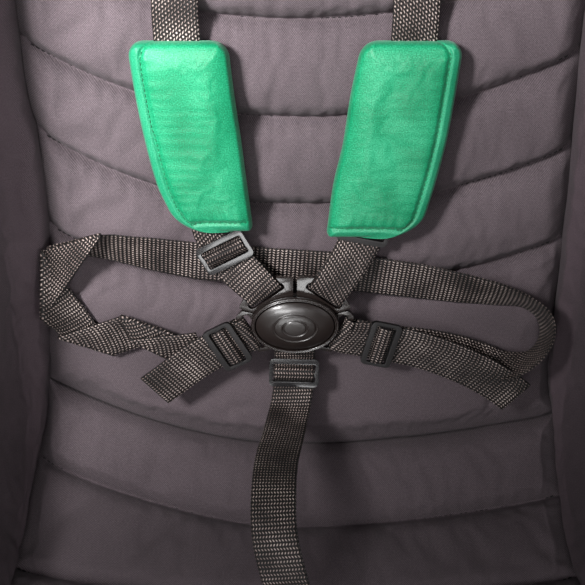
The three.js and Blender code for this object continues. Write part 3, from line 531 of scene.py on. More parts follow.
def woven(name, dark, mid, light, pitch=1.25):
    """Fine plain weave: over-and-under yarns along both UV directions, with slow tone changes."""
    look = Look(name, mid, 0.95)
    look.set({"Sheen Weight": 0.05, "Sheen Roughness": 0.6, "Specular IOR Level": 0.12})
    u, v = look.uv()
    turn = 2 * math.pi / (pitch * MM)
    weave = ((u * turn).step("SINE") * (v * turn).step("SINE") + 1.0) * 0.5
    yarns = weave * 0.5 + look.noise(900, 2, "UV") * 0.5
    look.ramp(yarns * 0.75 + look.noise(14, 4) * 0.25, [(0.22, dark), (0.5, mid), (0.8, light)])
    look.bump(weave, 0.5, 0.00022)
    look.bump(look.noise(260, 3, "UV"), 0.25, 0.0006)
    return look.mat


def webbing_look(name):
    """Ribbed nylon webbing: slanted stitches in rows across the web, slant alternating row by row."""
    row_pitch, stitch_pitch = 2.5 * MM, 1.75 * MM
    look = Look(name, srgb(40, 33, 30), 0.62)
    look.set({"Sheen Weight": 0.03, "Specular IOR Level": 0.3})
    across, along = look.uv()
    row = along / row_pitch
    index = row.step("FLOOR")
    part = row - index
    way = index.step("ABSOLUTE").step("MODULO", 2.0) * 2.0 - 1.0
    cell = across / stitch_pitch + (part - 0.5) * (way * 0.62)
    bead = (cell * (2 * math.pi)).step("SINE") * 0.5 + 0.5
    rib = (part * math.pi).step("SINE")
    height = rib.step("POWER", 0.8) * (bead * 0.75 + 0.25)
    lit = height * (look.noise(5200, 2, "UV") * 0.7 + look.noise(55, 3) * 0.75)
    look.ramp(lit, [(0.14, srgb(13, 10, 9)), (0.4, srgb(40, 33, 31)), (0.58, srgb(126, 110, 104)),
                 (0.84, srgb(226, 210, 202))])
    look.bump(height, 0.95, 0.00045)
    return look.mat


def satin(name, dark, mid, light):
    look = Look(name, mid, 0.5)
    look.set({"Sheen Weight": 0.22, "Sheen Roughness": 0.4, "Specular IOR Level": 0.4})
    look.set({"Sheen Tint": (0.6, 1, 0.8, 1)})
    fine = look.noise(1400, 3, "UV")
    look.ramp(fine * 0.62 + look.noise(30, 4) * 0.38, [(0.36, dark), (0.5, mid), (0.66, light)])
    look.bump(fine, 0.35, 0.0003)
    look.bump(look.noise(120, 4, "UV"), 0.3, 0.0012)
    return look.mat


def plastic(name, color, rough, grain=0.0, scale=1800, coat=0.0):
    look = Look(name, color, rough)
    look.ramp(look.noise(45, 3), [(0.3, [c * 0.88 for c in color]), (0.7, [min(1, c * 1.12) for c in color])])
    look.link(look.noise(90, 3) * 0.14 + (rough - 0.07), look.inputs["Roughness"])
    if grain:
        look.bump(look.noise(scale, 2), grain, 0.0002)
    if coat:
        look.set({"Coat Weight": coat, "Coat Roughness": 0.12})
    return look.mat


def metal(name, color, rough):
    """Drawn steel: streaks stretched along x."""
    look = Look(name, color, rough, 1.0)
    stretch = look.node("Mapping", Scale=(0.12, 1, 1))
    look.link(look.coords["Object"], stretch.inputs[0])
    noise = look.node("TexNoise", Scale=240.0, Detail=3.0)
    look.link(stretch.outputs[0], noise.inputs["Vector"])
    streak = Value(look, noise.outputs["Fac"])
    look.link(streak * 0.25 + (rough - 0.1), look.inputs["Roughness"])
    look.bump(streak, 0.1, 0.0001)
    return look.mat


PAD = woven("pad_fabric", srgb(62, 55, 58), srgb(93, 84, 88), srgb(128, 116, 121))
SIDE = woven("side_fabric", srgb(58, 50, 54), srgb(86, 75, 80), srgb(116, 102, 108), 1.5)
LINING = woven("lining_fabric", srgb(30, 27, 30), srgb(44, 40, 44), srgb(62, 57, 61), 1.6)
WEB = webbing_look("webbing")
GREEN = satin("green_satin", srgb(4, 110, 72), srgb(12, 144, 98), srgb(64, 184, 136))
GREEN_BAND = satin("green_binding", srgb(14, 122, 84), srgb(34, 150, 108), srgb(78, 182, 138))
THREAD = plastic("thread", srgb(26, 22, 24), 0.9)
GREEN_THREAD = plastic("green_thread", srgb(20, 110, 74), 0.8)
# One glide plastic in a lit and a shaded copy: GLIDE is glossier and lighter for the glides that catch the light; the
# darker, rougher copy is painted shade for the glides in shade.
GLIDE = plastic("glide_plastic", srgb(26, 24, 26), 0.24, 0.06, 900, 0.6)
SHADED_GLIDE = plastic("matt_glide_plastic", srgb(24, 21, 22), 0.5, 0.06, 900)
BUCKLE = plastic("buckle_plastic", srgb(42, 36, 34), 0.27, 0.08, 2600, 0.5)
BUTTON = plastic("button_plastic", srgb(42, 36, 34), 0.32, 0.15, 3200, 0.3)
# Buckle plastic painted near-black for the well under the button: painted shade in the gap round the button.
WELL_SHADE = plastic("buckle_inner", srgb(20, 19, 19), 0.6)
SHELL = plastic("shell_plastic", srgb(44, 44, 47), 0.5, 0.35, 1100)
BASE = plastic("base_plastic", srgb(54, 54, 57), 0.55, 0.4, 900)
RELEASE = plastic("release_plastic", srgb(170, 52, 40), 0.42, 0.12, 1500)
STEEL = metal("steel", (0.62, 0.63, 0.65, 1), 0.32)
SLOTS = {
    PAD: "pad_fabric", LINING: "pad_fabric", SIDE: "side_fabric", WEB: "webbing", GREEN: "green_satin",
    GLIDE: "glide_plastic", SHADED_GLIDE: "glide_plastic", BUCKLE: "buckle_plastic", BUTTON: "buckle_plastic",
    WELL_SHADE: "buckle_plastic"}


# ---------- padding ----------
def seam_curve(middle, left, right, power=2.2):
    """A seam across the cover: its place in the middle and how far it climbs at each side."""
    return lambda u: middle + (left if u < 0 else right) * (abs(u) / 150) ** power


CREASE_SEAM = seam_curve(324, 44, 18, 2.0)
BACK_SEAMS = [
    seam_curve(442.5, 43, 30), seam_curve(503.5, 45, 31), seam_curve(560, 44, 32), seam_curve(618, 40, 32),
    seam_curve(672, 14, 12)]
SEAT_SEAMS = [
    seam_curve(265, 50, 20, 1.9), seam_curve(206, 26, 16), seam_curve(148, 16, 12), seam_curve(90, 10, 8),
    seam_curve(32, 6, 6)]
PAD_LEFT, PAD_RIGHT = -153.5, 165.5
LEFT_SPREAD = [
    (0, -26), (150, -33), (280, -33), (310, -24), (335, -15), (368, -8.5), (430, 0), (485, 3.6), (540, 4.2),
    (592, 0), (720, 0)]
RIGHT_SPREAD = [
    (0, 16), (150, 20), (270, 18), (300, 15), (342, 12), (370, 3.6), (420, 0), (472, 0), (534, -2.1),
    (592, -4.9), (720, -4.9)]
SPREAD_FROM = 60.0
COVER_THICK, BACK_DIP, SEAT_DIP = 24.0, 11.5, 11.0
BACK_THREAD, SEAT_THREAD = 12.0, 12.5


def spread(s, u):
    """The pads are cut to shape: their side edges swing out towards the seat."""
    keys, edge = (LEFT_SPREAD, -PAD_LEFT) if u < 0 else (RIGHT_SPREAD, PAD_RIGHT)
    return u + through(keys, s) * clamp((abs(u) - SPREAD_FROM) / (edge - SPREAD_FROM)) ** 1.6


def graded(count):
    """Steps from 0 to 1, closer together near both ends."""
    t = np.linspace(0, 1, count + 1)
    return 0.45 * t + 0.55 * (0.5 - 0.5 * np.cos(math.pi * t))


def quilted(name, low, high, left, right, seams, thick, dip, step=2.7, edge_round=17.0):
    """A channel-sewn cover whose rows run along the seams, with its pins."""
    edge = [(1.4, 0.92), (2.4, 0.7), (2.7, 0.4), (2.2, 0.08)]
    across = np.linspace(left, right, int((right - left) / step) + 1)
    columns = [(left - a, b) for a, b in edge[::-1]] + [(u, 1.0) for u in across]
    columns += [(right + a, b) for a, b in edge]
    marks = sorted([low, *seams, high], key=lambda f: f(0))
    last = len(marks) - 2
    rows = [(0, 0.0, b) for _, b in edge[::-1]]
    for k in range(last + 1):
        count = max(4, int((marks[k + 1](0) - marks[k](0)) / step))
        rows += [(k, t, 1.0) for t in graded(count)[: None if k == last else -1]]
    rows += [(last, 1.0, b) for _, b in edge]
    points, uv, _ = blank(len(rows), len(columns))
    pins = np.ones((len(rows), len(columns)))
    for j, (u, fall) in enumerate(columns):
        lines = [f(u) for f in marks]
        for i, (k, t, drop) in enumerate(rows):
            s = lines[k] + t * (lines[k + 1] - lines[k])
            overhang = (1 - drop) * 2.4
            s += -overhang if i < len(edge) else overhang if i >= len(rows) - len(edge) else 0
            d = min(abs(s - q) for q in lines[1:-1])
            rim_d = max(0.0, min(u - left, right - u, s - lines[0], lines[-1] - s))
            pillow = dip * (0.5 * fade(d, 11) ** 1.8 + 0.5 * fade(d, 32) ** 2.0) + 2.6 * bell(d, 1.5)
            rounding = 0.55 * fade(rim_d, edge_round) ** 2.2
            pucker = 0.6 * math.sin(u / 1.35 + 2.2 * math.sin(u / 11 + k)) * math.exp(-abs(d - 3.5) / 4.5)
            lift = (thick(s) - pillow) * (1 - rounding) + pucker * min(1, rim_d / 8)
            points[i, j] = bucket(s, spread(s, u), 1.5 + lift * min(fall, drop))
            uv[i, j] = (u, s)
            if fall == 1.0 and drop == 1.0:
                pins[i, j] = 1 - 0.97 * min(1.0, d / 6) * min(1.0, rim_d / 9)
    return sheet(name, points, uv), pins.ravel()


def sew(name, seams, height):
    """The thread showing along each seam, this high above the shell."""
    across = np.arange(PAD_LEFT + 3, PAD_RIGHT - 3, 2.0)
    for number, seam in enumerate(seams):
        base, above = (
            np.array([bucket(seam(u), spread(seam(u), u), h) for u in across]) for h in (height, height + 1))
        wear(stitches("%s_%d" % (name, number + 1), base, above - base), THREAD, "seat")


def roughen(obj, seed, amount, size):
    """Slow handmade unevenness along the normals."""
    vertices = obj.data.vertices
    co, no = coordinates(vertices), coordinates(vertices, "normal")
    p = co / MM / size
    w = value_noise(p[:, 0] + 0.37 * p[:, 1], p[:, 2] - 0.21 * p[:, 1], seed)
    w += 0.5 * value_noise(2.1 * p[:, 0] + p[:, 1], 2.3 * p[:, 2], seed + 3)
    vertices.foreach_set("co", (co + no * (w * amount * MM)[:, None]).ravel())
    obj.data.update()


def upholster(cover, pins, material, body, node, waves, pressure=5.0, slack=0.03, frames=14):
    """Puffs a cover, makes it uneven by waves of (seed, amount, size), smooths it and puts it on."""
    inflate(cover, pins, pressure, 0.003, slack, frames)
    for wave in waves:
        roughen(cover, *wave)
    modify(cover, "SUBSURF", levels=1, render_levels=1)
    wear(cover, material, body, node)


THREAD_SECTION = ((-1, -0.6), (-0.7, 0.5), (0.7, 0.5), (1, -0.6))


def stitches(name, path, normals, pitch=3.4, length=2.3, thick=0.42):
    """A row of short raised threads along a line of points (row millimetres)."""
    d = run_lengths(path)
    at = lambda s, values: np.array([np.interp(s, d, values[:, k]) for k in range(3)])
    verts, faces = [], []
    for start in np.arange(pitch / 2, d[-1] - pitch, pitch):
        a, b, n = at(start, path), at(start + length, path), at(start, normals)
        t = unit(b - a)
        n = unit(n - t * n.dot(t))
        w = np.cross(n, t)
        base = len(verts)
        for k, lift in ((0, -0.1), (0.25, 0.9), (0.75, 0.9), (1, -0.1)):
            c = a + (b - a) * k + n * lift * thick
            verts += [c + w * q * thick + n * r * thick for q, r in THREAD_SECTION]
        faces += [tuple(base + k for k in f) for f in grid_faces(4, 4, True)]
        faces += [(base + 3, base + 2, base + 1, base), (base + 12, base + 13, base + 14, base + 15)]
    return make(name, verts, faces)


def back_top(u):
    return 700.0 - 3 * (abs(u) / 150) ** 6


def seat_thick(s):
    """The seat pad thins towards the front edge of the nose."""
    return COVER_THICK if s > 0 else 17 + 7 * (s + NOSE_ARC) / NOSE_ARC


back = quilted(
    "back_pad_cover", lambda u: CREASE_SEAM(u) + 1.0, back_top, PAD_LEFT, PAD_RIGHT, BACK_SEAMS,
    lambda s: COVER_THICK, BACK_DIP)
upholster(*back, PAD, "seat", "back_pad", [(3, 0.4, 24)])
sew("back_seam_thread", BACK_SEAMS[:4], BACK_THREAD)

seat = quilted(
    "seat_pad_cover", lambda u: 2 - NOSE_ARC, lambda u: CREASE_SEAM(u) - 1.0, PAD_LEFT, PAD_RIGHT, SEAT_SEAMS,
    seat_thick, SEAT_DIP)
upholster(*seat, PAD, "seat", "seat_pad", [(5, 0.4, 24)])
sew("seat_seam_thread", SEAT_SEAMS, SEAT_THREAD)

upper = quilted(
    "upper_back_cover", lambda u: 704.0, lambda u: 884.0, -148, 148,
    [seam_curve(764, 0, 0), seam_curve(824, 0, 0)], lambda s: 6.0, 1.8, 5.0, 8.0)
wear(upper[0], LINING, "seat", "upper_back_pad")


BOLSTER_LOW, BOLSTER_HIGH, BOLSTER_THICK = -4, 889, 21.5


def bolster(side, name):
    """The side roll: one cover from the pad's edge up the wing, over the rim and down the outside."""
    edge, keys = (-PAD_LEFT, LEFT_SPREAD) if side < 0 else (PAD_RIGHT, RIGHT_SPREAD)
    s_rows, columns = np.arange(BOLSTER_LOW, BOLSTER_HIGH, 4.5), 56
    points, uv, pins = blank(len(s_rows), columns)
    for i, s in enumerate(s_rows):
        top = rim(s)
        base = edge + side * through(keys, s) + 2.2
        t = BOLSTER_THICK * min(1.0, 0.5 + (s - BOLSTER_LOW) / 60, 0.5 + (BOLSTER_HIGH - s) / 40)
        wave = 1 + 0.03 * math.sin(s / 23.0) + 0.02 * math.sin(s / 9.0 + 1)
        roll = 1 + 0.3 * math.exp(-(((s - 430) / 260) ** 4))
        span = top - base
        full = t * roll * wave
        guide = [
            (base, 1.5), (base - 0.8, t * 0.6), (base, t), (base + 3, t * (roll - 0.05)), (base + 9, full),
            (base + 20, full), (base + span * 0.4, t * 1.14 * wave), (base + span * 0.57, t * 1.1 * wave),
            (base + span * 0.72, t * 1.06), (top - 14, t * 1.04), (top - 3, t * 0.98), (top + 4.5, t * 0.8),
            (top + 8.3, t * 0.45), (top + 8.6, t * 0.1), (top + 7, -5.0), (top + 2, -8.6), (top - 8, -8.9),
            (top - 18, -8.6), (top - 25, -7.8), (top - 26.5, -5.0)]
        g = np.array(guide)
        d = run_lengths(g)
        for j, q in enumerate(np.linspace(0, d[-1], columns)):
            u, n = np.interp(q, d, g[:, 0]), np.interp(q, d, g[:, 1])
            points[i, j] = bucket(s, side * u, n)
            uv[i, j] = (q, s)
            pins[i, j] = 1.0 if j < 3 or j > columns - 9 or i < 2 or i > len(s_rows) - 3 else 0.3
    return sheet(name, points, uv, flip=side > 0), pins.ravel()


for tag, side in SIDES:
    waves = [(11 + side, 0.6, 34), (17 + side, 1.3, 75)]
    upholster(*bolster(side, "bolster_cover_" + tag), SIDE, "seat", "bolster_" + tag, waves, 3.0, 0.025, 10)


# ---------- headrest cover ----------
HEAD_LOW, HEAD_TALL, HEAD_HALF = 421.0, 174.0, 185.0
HEAD_OUT, HEAD_EDGE, HEAD_CROWN = 12, 6.7, 20.6
HEAD_FLAT, HEAD_RADIUS, HEAD_WALL = 82.0, 34.0, math.radians(76)
WING_SEAM, HEAD_SEAMS = 84.0, (480.0, 540.0)


def back_frame(x, v, n):
    """Across, up the back from the corner line, towards the child; row millimetres."""
    p = CORNER + v * BACK_DIR + n * BACK_NORMAL
    return np.array([x, p[1], p[2]])


def headrest_cover():
    """A cushion with a flat middle and two wings, channel-sewn where the wings turn and across the middle."""
    rows, columns = graded(56), 2 * graded(88) - 1
    points, uv, pins = blank(len(rows), len(columns))
    for i, r in enumerate(rows):
        v = HEAD_LOW + r * HEAD_TALL
        corner = abs(2 * r - 1) ** 6 * 22
        for j, c in enumerate(columns):
            u = c * (HEAD_HALF - corner * abs(c) ** 4)
            edge = min(r * HEAD_TALL, (1 - r) * HEAD_TALL, (1 - abs(c)) * HEAD_HALF)
            seam = abs(abs(u) - WING_SEAM)
            if abs(u) < WING_SEAM:
                seam = min(seam, *(abs(v - at) for at in HEAD_SEAMS))
            crown, welt = quarter_round(edge, 20), 1.4 * bell(edge - 4, 1.8)
            groove = 3.2 * fade(seam, 16) ** 2 + 1.6 * bell(seam, 1.5)
            n = HEAD_EDGE + HEAD_CROWN * crown + welt - groove * min(1, edge / 16)
            x, h, nx, nh = section(u, HEAD_FLAT, HEAD_RADIUS, HEAD_WALL)
            points[i, j] = back_frame(x + n * nx, v, HEAD_OUT + h + n * nh)
            uv[i, j] = (u, v)
            pins[i, j] = 1 - 0.97 * min(1.0, seam / 6) * min(1.0, edge / 9)
    return sheet("headrest_cover", points, uv), pins.ravel()


upholster(*headrest_cover(), PAD, "headrest", "headrest_pad", [(23, 0.35, 26)], frames=10)


# ---------- webbing ----------
WEB_WIDTH, WEB_THICK, WEB_STEP = 25.0, 1.3, 1.4


class Axes:
    """Directions across the web, along it and off its face, from a point in harness coordinates."""

    def __init__(self, origin, along, across):
        self.origin = np.array(origin, float)
        self.along = unit(np.array(along, float))
        across = np.array(across, float)
        self.across = unit(across - self.along * across.dot(self.along))
        self.off = np.cross(self.across, self.along)
        if self.off[2] < 0:
            self.off = -self.off

    def at(self, along, off, across=0.0):
        return self.origin + self.along * along + self.off * off + self.across * across


LEFT_GLIDE = Axes((-41.5, 46.5, -2), (-0.485, 0.875, -0.06), (0.875, 0.485, 0))
RIGHT_GLIDE = Axes((40.5, 61, -5), (0.21, 0.978, -0.05), (-0.978, 0.21, 0))
LEFT_WAIST_GLIDE = Axes((-41, -15, 7.6), (-0.877, -0.48, 0.02), (0.48, -0.877, 0))
RIGHT_WAIST_GLIDE = Axes((52.5, -14.5, 5.5), (0.97, -0.24, -0.05), (-0.24, -0.97, 0))
CROTCH_GLIDE = Axes((-0.5, -37, 2), (-0.03, -0.97, 0.24), (1, 0, 0))
GLIDES = {
    "shoulder_left": LEFT_GLIDE, "shoulder_right": RIGHT_GLIDE, "waist_left": LEFT_WAIST_GLIDE,
    "waist_right": RIGHT_WAIST_GLIDE, "crotch": CROTCH_GLIDE}
UNDER, RETURN = -3.5, -4.9  # where the webbing passes below a glide, going out and coming back


def shoulder_tongue(side):
    return Axes((side * 17.4, 18.6, 0), (side * 0.6, 0.8, 0), (side * -0.8, 0.6, 0))


def waist_tongue(side):
    return Axes((side * 24.6, -6.2, 0), (side * 0.877, -0.48, 0), (side * -0.48, -0.877, 0))


def fold(f, steps, width=1.0):
    """Stations at (along, off the face) of an Axes, drawn narrower by the width."""
    return [(f.at(along, off), f.across * width) for along, off in steps]


def over_glide(f):
    """The run of webbing below a glide. The hump over its middle bar is its own piece, to slide with it."""
    return fold(f, [(-9.5, UNDER), (9.5, UNDER)])


def hump(f):
    up = [(-8.4, -2.2), (-6.3, -2.2), (-4, -1.4), (-3.3, 1.9), (-2, 2.9)]
    return fold(f, [*up, (0, 3.05), *((-along, off) for along, off in up[::-1])])


def round_tongue(f):
    """Up through a shoulder slot and back over its outer bar, drawn a little narrower by the slot."""
    return fold(f, [(7.5, -1.9), (3.0, -1.75), (0.6, -1.4), (-0.6, 0.2), (-0.6, 2.9), (0.6, 4.5), (2.6, 4.95),
                    (7.5, 4.7)], 0.91)


def round_waist_tongue(f):
    """The same round a waist tongue, whose glide sits close against it."""
    return fold(f, [(7.5, -1.9), (4.6, -1.75), (2.9, -1.4), (1.9, 0.2), (1.9, 2.9), (2.9, 4.6), (4.4, 5.2),
                    (6.6, 5.0), (8.4, 4.4)], 0.93)


def stations(rows, w=None):
    """Points with their width direction: in each row after its place, or w for all."""
    return [(np.array(r[:3], float), unit(np.array(r[3:] if w is None else w, float))) for r in rows]


def shoulder_route(side):
    glide = LEFT_GLIDE if side < 0 else RIGHT_GLIDE
    lower = [(-47.5, 58, -6.4), (-50.5, 72, -8.6), (-53.5, 92, -9.4)] if side < 0 else [
        (43.5, 74, -8.4), (48.5, 84, -9), (52.5, 96, -9.4)]
    upper = [
        (57, 112, -9.8), (61, 140, -10), (64, 165, -11), (65, 186, -12.4), (65, 196, -14), (65, 200.3, -19),
        (65, 201, -27), (65, 201, -44), (65, 200.5, -52), (65, 197, -57.5), (65, 190, -58.8), (65, 178, -58)]
    route = fold(glide, [(7, RETURN), (-9.5, RETURN)])
    route += round_tongue(shoulder_tongue(side)) + over_glide(glide)
    route += stations(lower, (1, -side * 0.12, 0))
    route += stations([(side * x, y, z) for x, y, z in upper], (1, side * 0.03, 0))
    return [(p, w if w[0] >= 0 else -w) for p, w in route]


def waist_left_route():
    """From the loose end over the glide, round the tongue and back beneath the glide."""
    glide = LEFT_WAIST_GLIDE
    route = stations([(-87.5, -49, 5, 0.51, -0.86, 0), (-79, -41.5, 5.4, 0.52, -0.85, 0),
                      (-70, -34, 5.2, 0.52, -0.85, 0)])
    route += [(np.array((-57, -24.2, 5)), glide.across)]
    route += over_glide(glide)[::-1] + round_waist_tongue(waist_tongue(-1))[::-1]
    return route + fold(glide, [(-8.2, -6), (-5, RETURN), (9.5, RETURN), (15, RETURN), (22, -6)])


def waist_right_loop():
    """From behind the buckle round the loop that stands on its edge, to below the glide."""
    run = stations([
        (20, 29.5, -15, 0.02, 1, 0), (40.5, 27, -15, 0.06, 1, 0), (74.5, 22, -14.4, 0.12, 0.98, 0.1),
        (102, 17.5, -12.6, 0.15, 0.92, 0.34), (126, 13.5, -10.4, 0.2, 0.75, 0.6),
        (143, 8.5, -8.6, 0.2, 0.48, 0.84), (152, 1.5, -5.8, 0.16, 0.42, 0.88),
        (154.8, -8, -1.6, 0.14, 0.4, 0.89), (152, -18, 2.4, 0.14, 0.32, 0.9),
        (144, -27.5, 3.2, 0.1, 0.1, 0.95), (133, -33.5, -1, 0, -0.4, 0.9),
        (119, -33, -5.2, -0.32, -0.88, 0.36), (99.6, -25, -4.4, -0.4, -0.9, 0.12),
        (77, -18.5, -1.5, -0.3, -0.95, 0.02)])
    return run + fold(RIGHT_WAIST_GLIDE, [(9.5, RETURN - 1.5), (-4, RETURN - 1.5)])


def waist_right_route():
    """From below the glide round the tongue and over the glide to the loose end."""
    glide = RIGHT_WAIST_GLIDE
    route = fold(glide, [(12, RETURN), (9.5, RETURN), (-7, RETURN)])
    route += round_waist_tongue(waist_tongue(1)) + over_glide(glide)
    return route + stations([
        (70, -17.5, 4.2, -0.36, -0.93, 0), (88, -23, 5.6, -0.44, -0.9, 0), (111, -33.5, 6.4, -0.5, -0.87, 0),
        (130, -46, 6.4, -0.52, -0.86, 0), (138.5, -53.5, 5.6, -0.5, -0.87, 0)])


def crotch_route():
    """From beneath the glide round the buckle's slot, over the glide, down the back and through the seat."""
    straight = (1, 0, 0)
    under = stations([CROTCH_GLIDE.at(7, RETURN), CROTCH_GLIDE.at(-9.5, RETURN)], straight)
    slot = stations([(0, -23.4, -10.6), (0, -20.5, -11), (0, -18, -10), (0, -17.2, -7), (0, -17.8, -3),
                     (0, -20.5, -1.9), (0, -23.5, -2.0)], straight)
    fall = stations([
        (-1.5, -53, 2.4, 1, 0, 0), (-2.6, -59.5, 6, 0.99, -0.1, 0), (-4.4, -63, 17, 0.98, -0.15, 0),
        (-6.5, -63.5, 36, 0.97, -0.2, 0), (-10, -64, 62, 0.98, -0.15, 0), (-12, -68, 96, 0.99, -0.1, 0)])
    seat = stations([
        (-11, -86, 122), (-5, -110, 134.5), (-0.5, -128, 137.2), (0, -146, 135.7), (0, -172, 132.5),
        (0, -183, 131.2), (0, -188.5, 127.6), (0, -189.6, 120.6), (0, -187, 113.6)], straight)
    return under + slot + over_glide(CROTCH_GLIDE) + fall + seat


def resample(route, step):
    """Centripetal spline through the stations, cut into even steps."""
    p = np.array([q for q, _ in route])
    w = np.array([q for _, q in route])
    gaps = np.maximum(np.linalg.norm(np.diff(p, axis=0), axis=1), 1e-6) ** 0.5
    t = np.concatenate([[0], np.cumsum(gaps)])
    out_p, out_w = [], []
    for i in range(len(p) - 1):
        p0 = p[i - 1] if i else 2 * p[0] - p[1]
        p3 = p[i + 2] if i + 2 < len(p) else 2 * p[-1] - p[-2]
        t0 = t[i - 1] if i else t[0] - gaps[0]
        t3 = t[i + 2] if i + 2 < len(p) else t[-1] + gaps[-1]
        t1, t2 = t[i], t[i + 1]
        m1 = (p[i + 1] - p[i]) - (t2 - t1) * ((p[i + 1] - p0) / (t2 - t0) - (p[i] - p0) / (t1 - t0))
        m2 = (p[i + 1] - p[i]) + (t2 - t1) * ((p3 - p[i + 1]) / (t3 - t2) - (p3 - p[i]) / (t3 - t1))
        count = max(1, int(np.linalg.norm(p[i + 1] - p[i]) / step))
        for k in range(count):
            f = k / count
            out_p.append(hermite(f, p[i], m1, p[i + 1], m2))
            out_w.append(w[i] * (1 - f) + w[i + 1] * f)
    out_p.append(p[-1])
    out_w.append(w[-1])
    return np.array(out_p), np.array(out_w)


ACROSS = np.linspace(-1, 1, 13)
LAST = len(ACROSS) - 1
HEM_LENGTH = 7.0


def web_mesh(name, grid, seed, hem=None):
    """Webbing from the grid of points down its middle surface: thickness, soft selvages and a doubled hem."""
    d = run_lengths(grid[:, LAST // 2])
    across = np.gradient(grid, axis=1)
    up, side = unit(np.cross(across, np.gradient(grid, axis=0))), unit(across)
    thick = np.full(len(grid), WEB_THICK / 2)
    if hem:
        inward = d if hem == "start" else d[-1] - d
        thick *= 1 + 0.9 / (1 + np.exp(np.clip((inward - HEM_LENGTH) / 0.35, -40, 40)))
    edge = 0.2 * value_noise(d / 16.0, np.zeros_like(d), seed)
    cup = 0.2 * value_noise(d / 28.0, np.ones_like(d), seed + 1)
    layers, ribs, order = [], [], []
    for face in (1, -1):
        for k in range(LAST + 1)[::face]:
            a = ACROSS[k]
            lift = face * thick * (1 - 0.15 * abs(a) ** 8) + cup * (a * a - 0.4)
            sideways = edge * a * a - 0.3 * a
            layers.append(grid[:, k] + up[:, k] * lift[:, None] + side[:, k] * sideways[:, None])
            ribs.append(a * WEB_WIDTH / 2 + (0 if face > 0 else 40))
            order.append(k)
        layers.append(grid[:, k] + side[:, k] * (face * 0.12 + edge)[:, None])
        ribs.append(face * (WEB_WIDTH / 2 + 0.4))
        order.append(k)
    points = np.stack(layers, axis=1)
    count = len(layers)
    uv = np.zeros((len(grid), count, 2))
    fibre = np.cumsum(np.linalg.norm(np.diff(grid, axis=0), axis=2), axis=0)
    uv[:, :, 0] = np.array(ribs)
    uv[1:, :, 1] = fibre[:, order]
    faces = grid_faces(len(grid), count, True)
    faces.append(tuple(range(count))[::-1])
    faces.append(tuple((len(grid) - 1) * count + k for k in range(count)))
    obj = make(name, harness(points).reshape(-1, 3), faces, uv.reshape(-1, 2))
    obj.data.polygons[-1].use_smooth = obj.data.polygons[-2].use_smooth = False
    return obj


def ribbon(name, route, seed, hem=None):
    """Webbing laid along a route given in harness coordinates; the length of w sets its relative width."""
    p, w = resample(route, WEB_STEP)
    tangent = unit(np.gradient(p, axis=0))
    width = np.clip(np.linalg.norm(w, axis=1, keepdims=True), 0.88, 1.0)
    w = unit(w - tangent * np.sum(w * tangent, axis=1, keepdims=True)) * width
    return web_mesh(name, p[:, None, :] + w[:, None, :] * (ACROSS * WEB_WIDTH / 2)[None, :, None], seed, hem)


def turn_left(d):
    return np.array([-d[1], d[0]])


def folded(name, course, seed):
    """Webbing folded flat. Course rows: x, y, height before, height after, folded there or not, tilt."""
    p = [np.array(c[:2], float) for c in course]
    way = [unit(b - a) for a, b in zip(p, p[1:])]
    across = [turn_left(way[0])]
    lines = [across[0]]
    for i in range(1, len(p) - 1):
        if course[i][4]:
            f = unit(way[i - 1] + way[i])
            across.append(2 * f.dot(across[-1]) * f - across[-1])
        else:
            turned = turn_left(way[i])
            turned = turned if turned.dot(across[-1]) > 0 else -turned
            f = unit(turned + across[-1])
            across.append(turned)
        lines.append(f)
    lines.append(across[-1])
    offsets = ACROSS * WEB_WIDTH / 2
    before = [across[0], *across]
    cross = [np.array([q + f * a * math.cos(c[5]) / f.dot(b) for a in offsets])
             for q, f, c, b in zip(p, lines, course, before)]
    rise = [math.sin(c[5]) * offsets for c in course]
    rows = []
    for i in range(len(p) - 1):
        length = np.linalg.norm(p[i + 1] - p[i])
        count = max(2, int(length / WEB_STEP))
        z0, z1 = course[i][3] + rise[i], course[i + 1][2] + rise[i + 1]
        for k in range(count):
            t = (k + 0.5) / count
            z = z0 + (z1 - z0) * ease(t)
            flat = cross[i] * (1 - t) + cross[i + 1] * t
            rows.append(np.column_stack([flat, z]))
        if i + 1 < len(p) - 1 and course[i + 1][4]:
            low, high = course[i + 1][2], course[i + 1][3]
            out = unit(way[i] - way[i + 1])
            for angle in np.linspace(0.15, math.pi - 0.15, 7):
                z = (low + high) / 2 - (high - low) / 2 * math.cos(angle) + rise[i + 1]
                flat = cross[i + 1] + out * abs(high - low) / 2 * math.sin(angle)
                rows.append(np.column_stack([flat, z]))
    grid = np.array(rows)
    grid[:, :, 2] += 0.5 * value_noise(grid[:, :, 0] / 17, grid[:, :, 1] / 17, seed)
    return web_mesh(name, grid, seed)


CRUMPLED = [
    (31, 28.6, -16.4, -16.4, False, 0), (-30, 33.0, -15.6, -15.6, False, 0),
    (-57.7, 35.2, -15.4, -15.4, False, 0), (-81.8, 40.0, -14, -14, False, -0.2),
    (-108, 46.0, -11.5, -11.5, False, -0.5), (-131, 50.5, -9.6, -6.4, True, -0.62),
    (-153, 20.5, -11.6, -8.6, True, -0.3), (-130.5, -23.4, -14.6, -11.4, True, 0),
    (-91.5, -8.2, -10.4, -7, True, 0), (-84.3, -25.6, -6, -3.4, True, 0), (-58, -22, -3.2, -3.2, False, 0)]


def towards(body, glide, tongue):
    """Webbing near a tongue goes with it; past its glide it stays."""
    return body, tuple(harness(glide.at(9.5, 0)) * MM), tuple(harness(tongue.at(7.5, 0)) * MM)


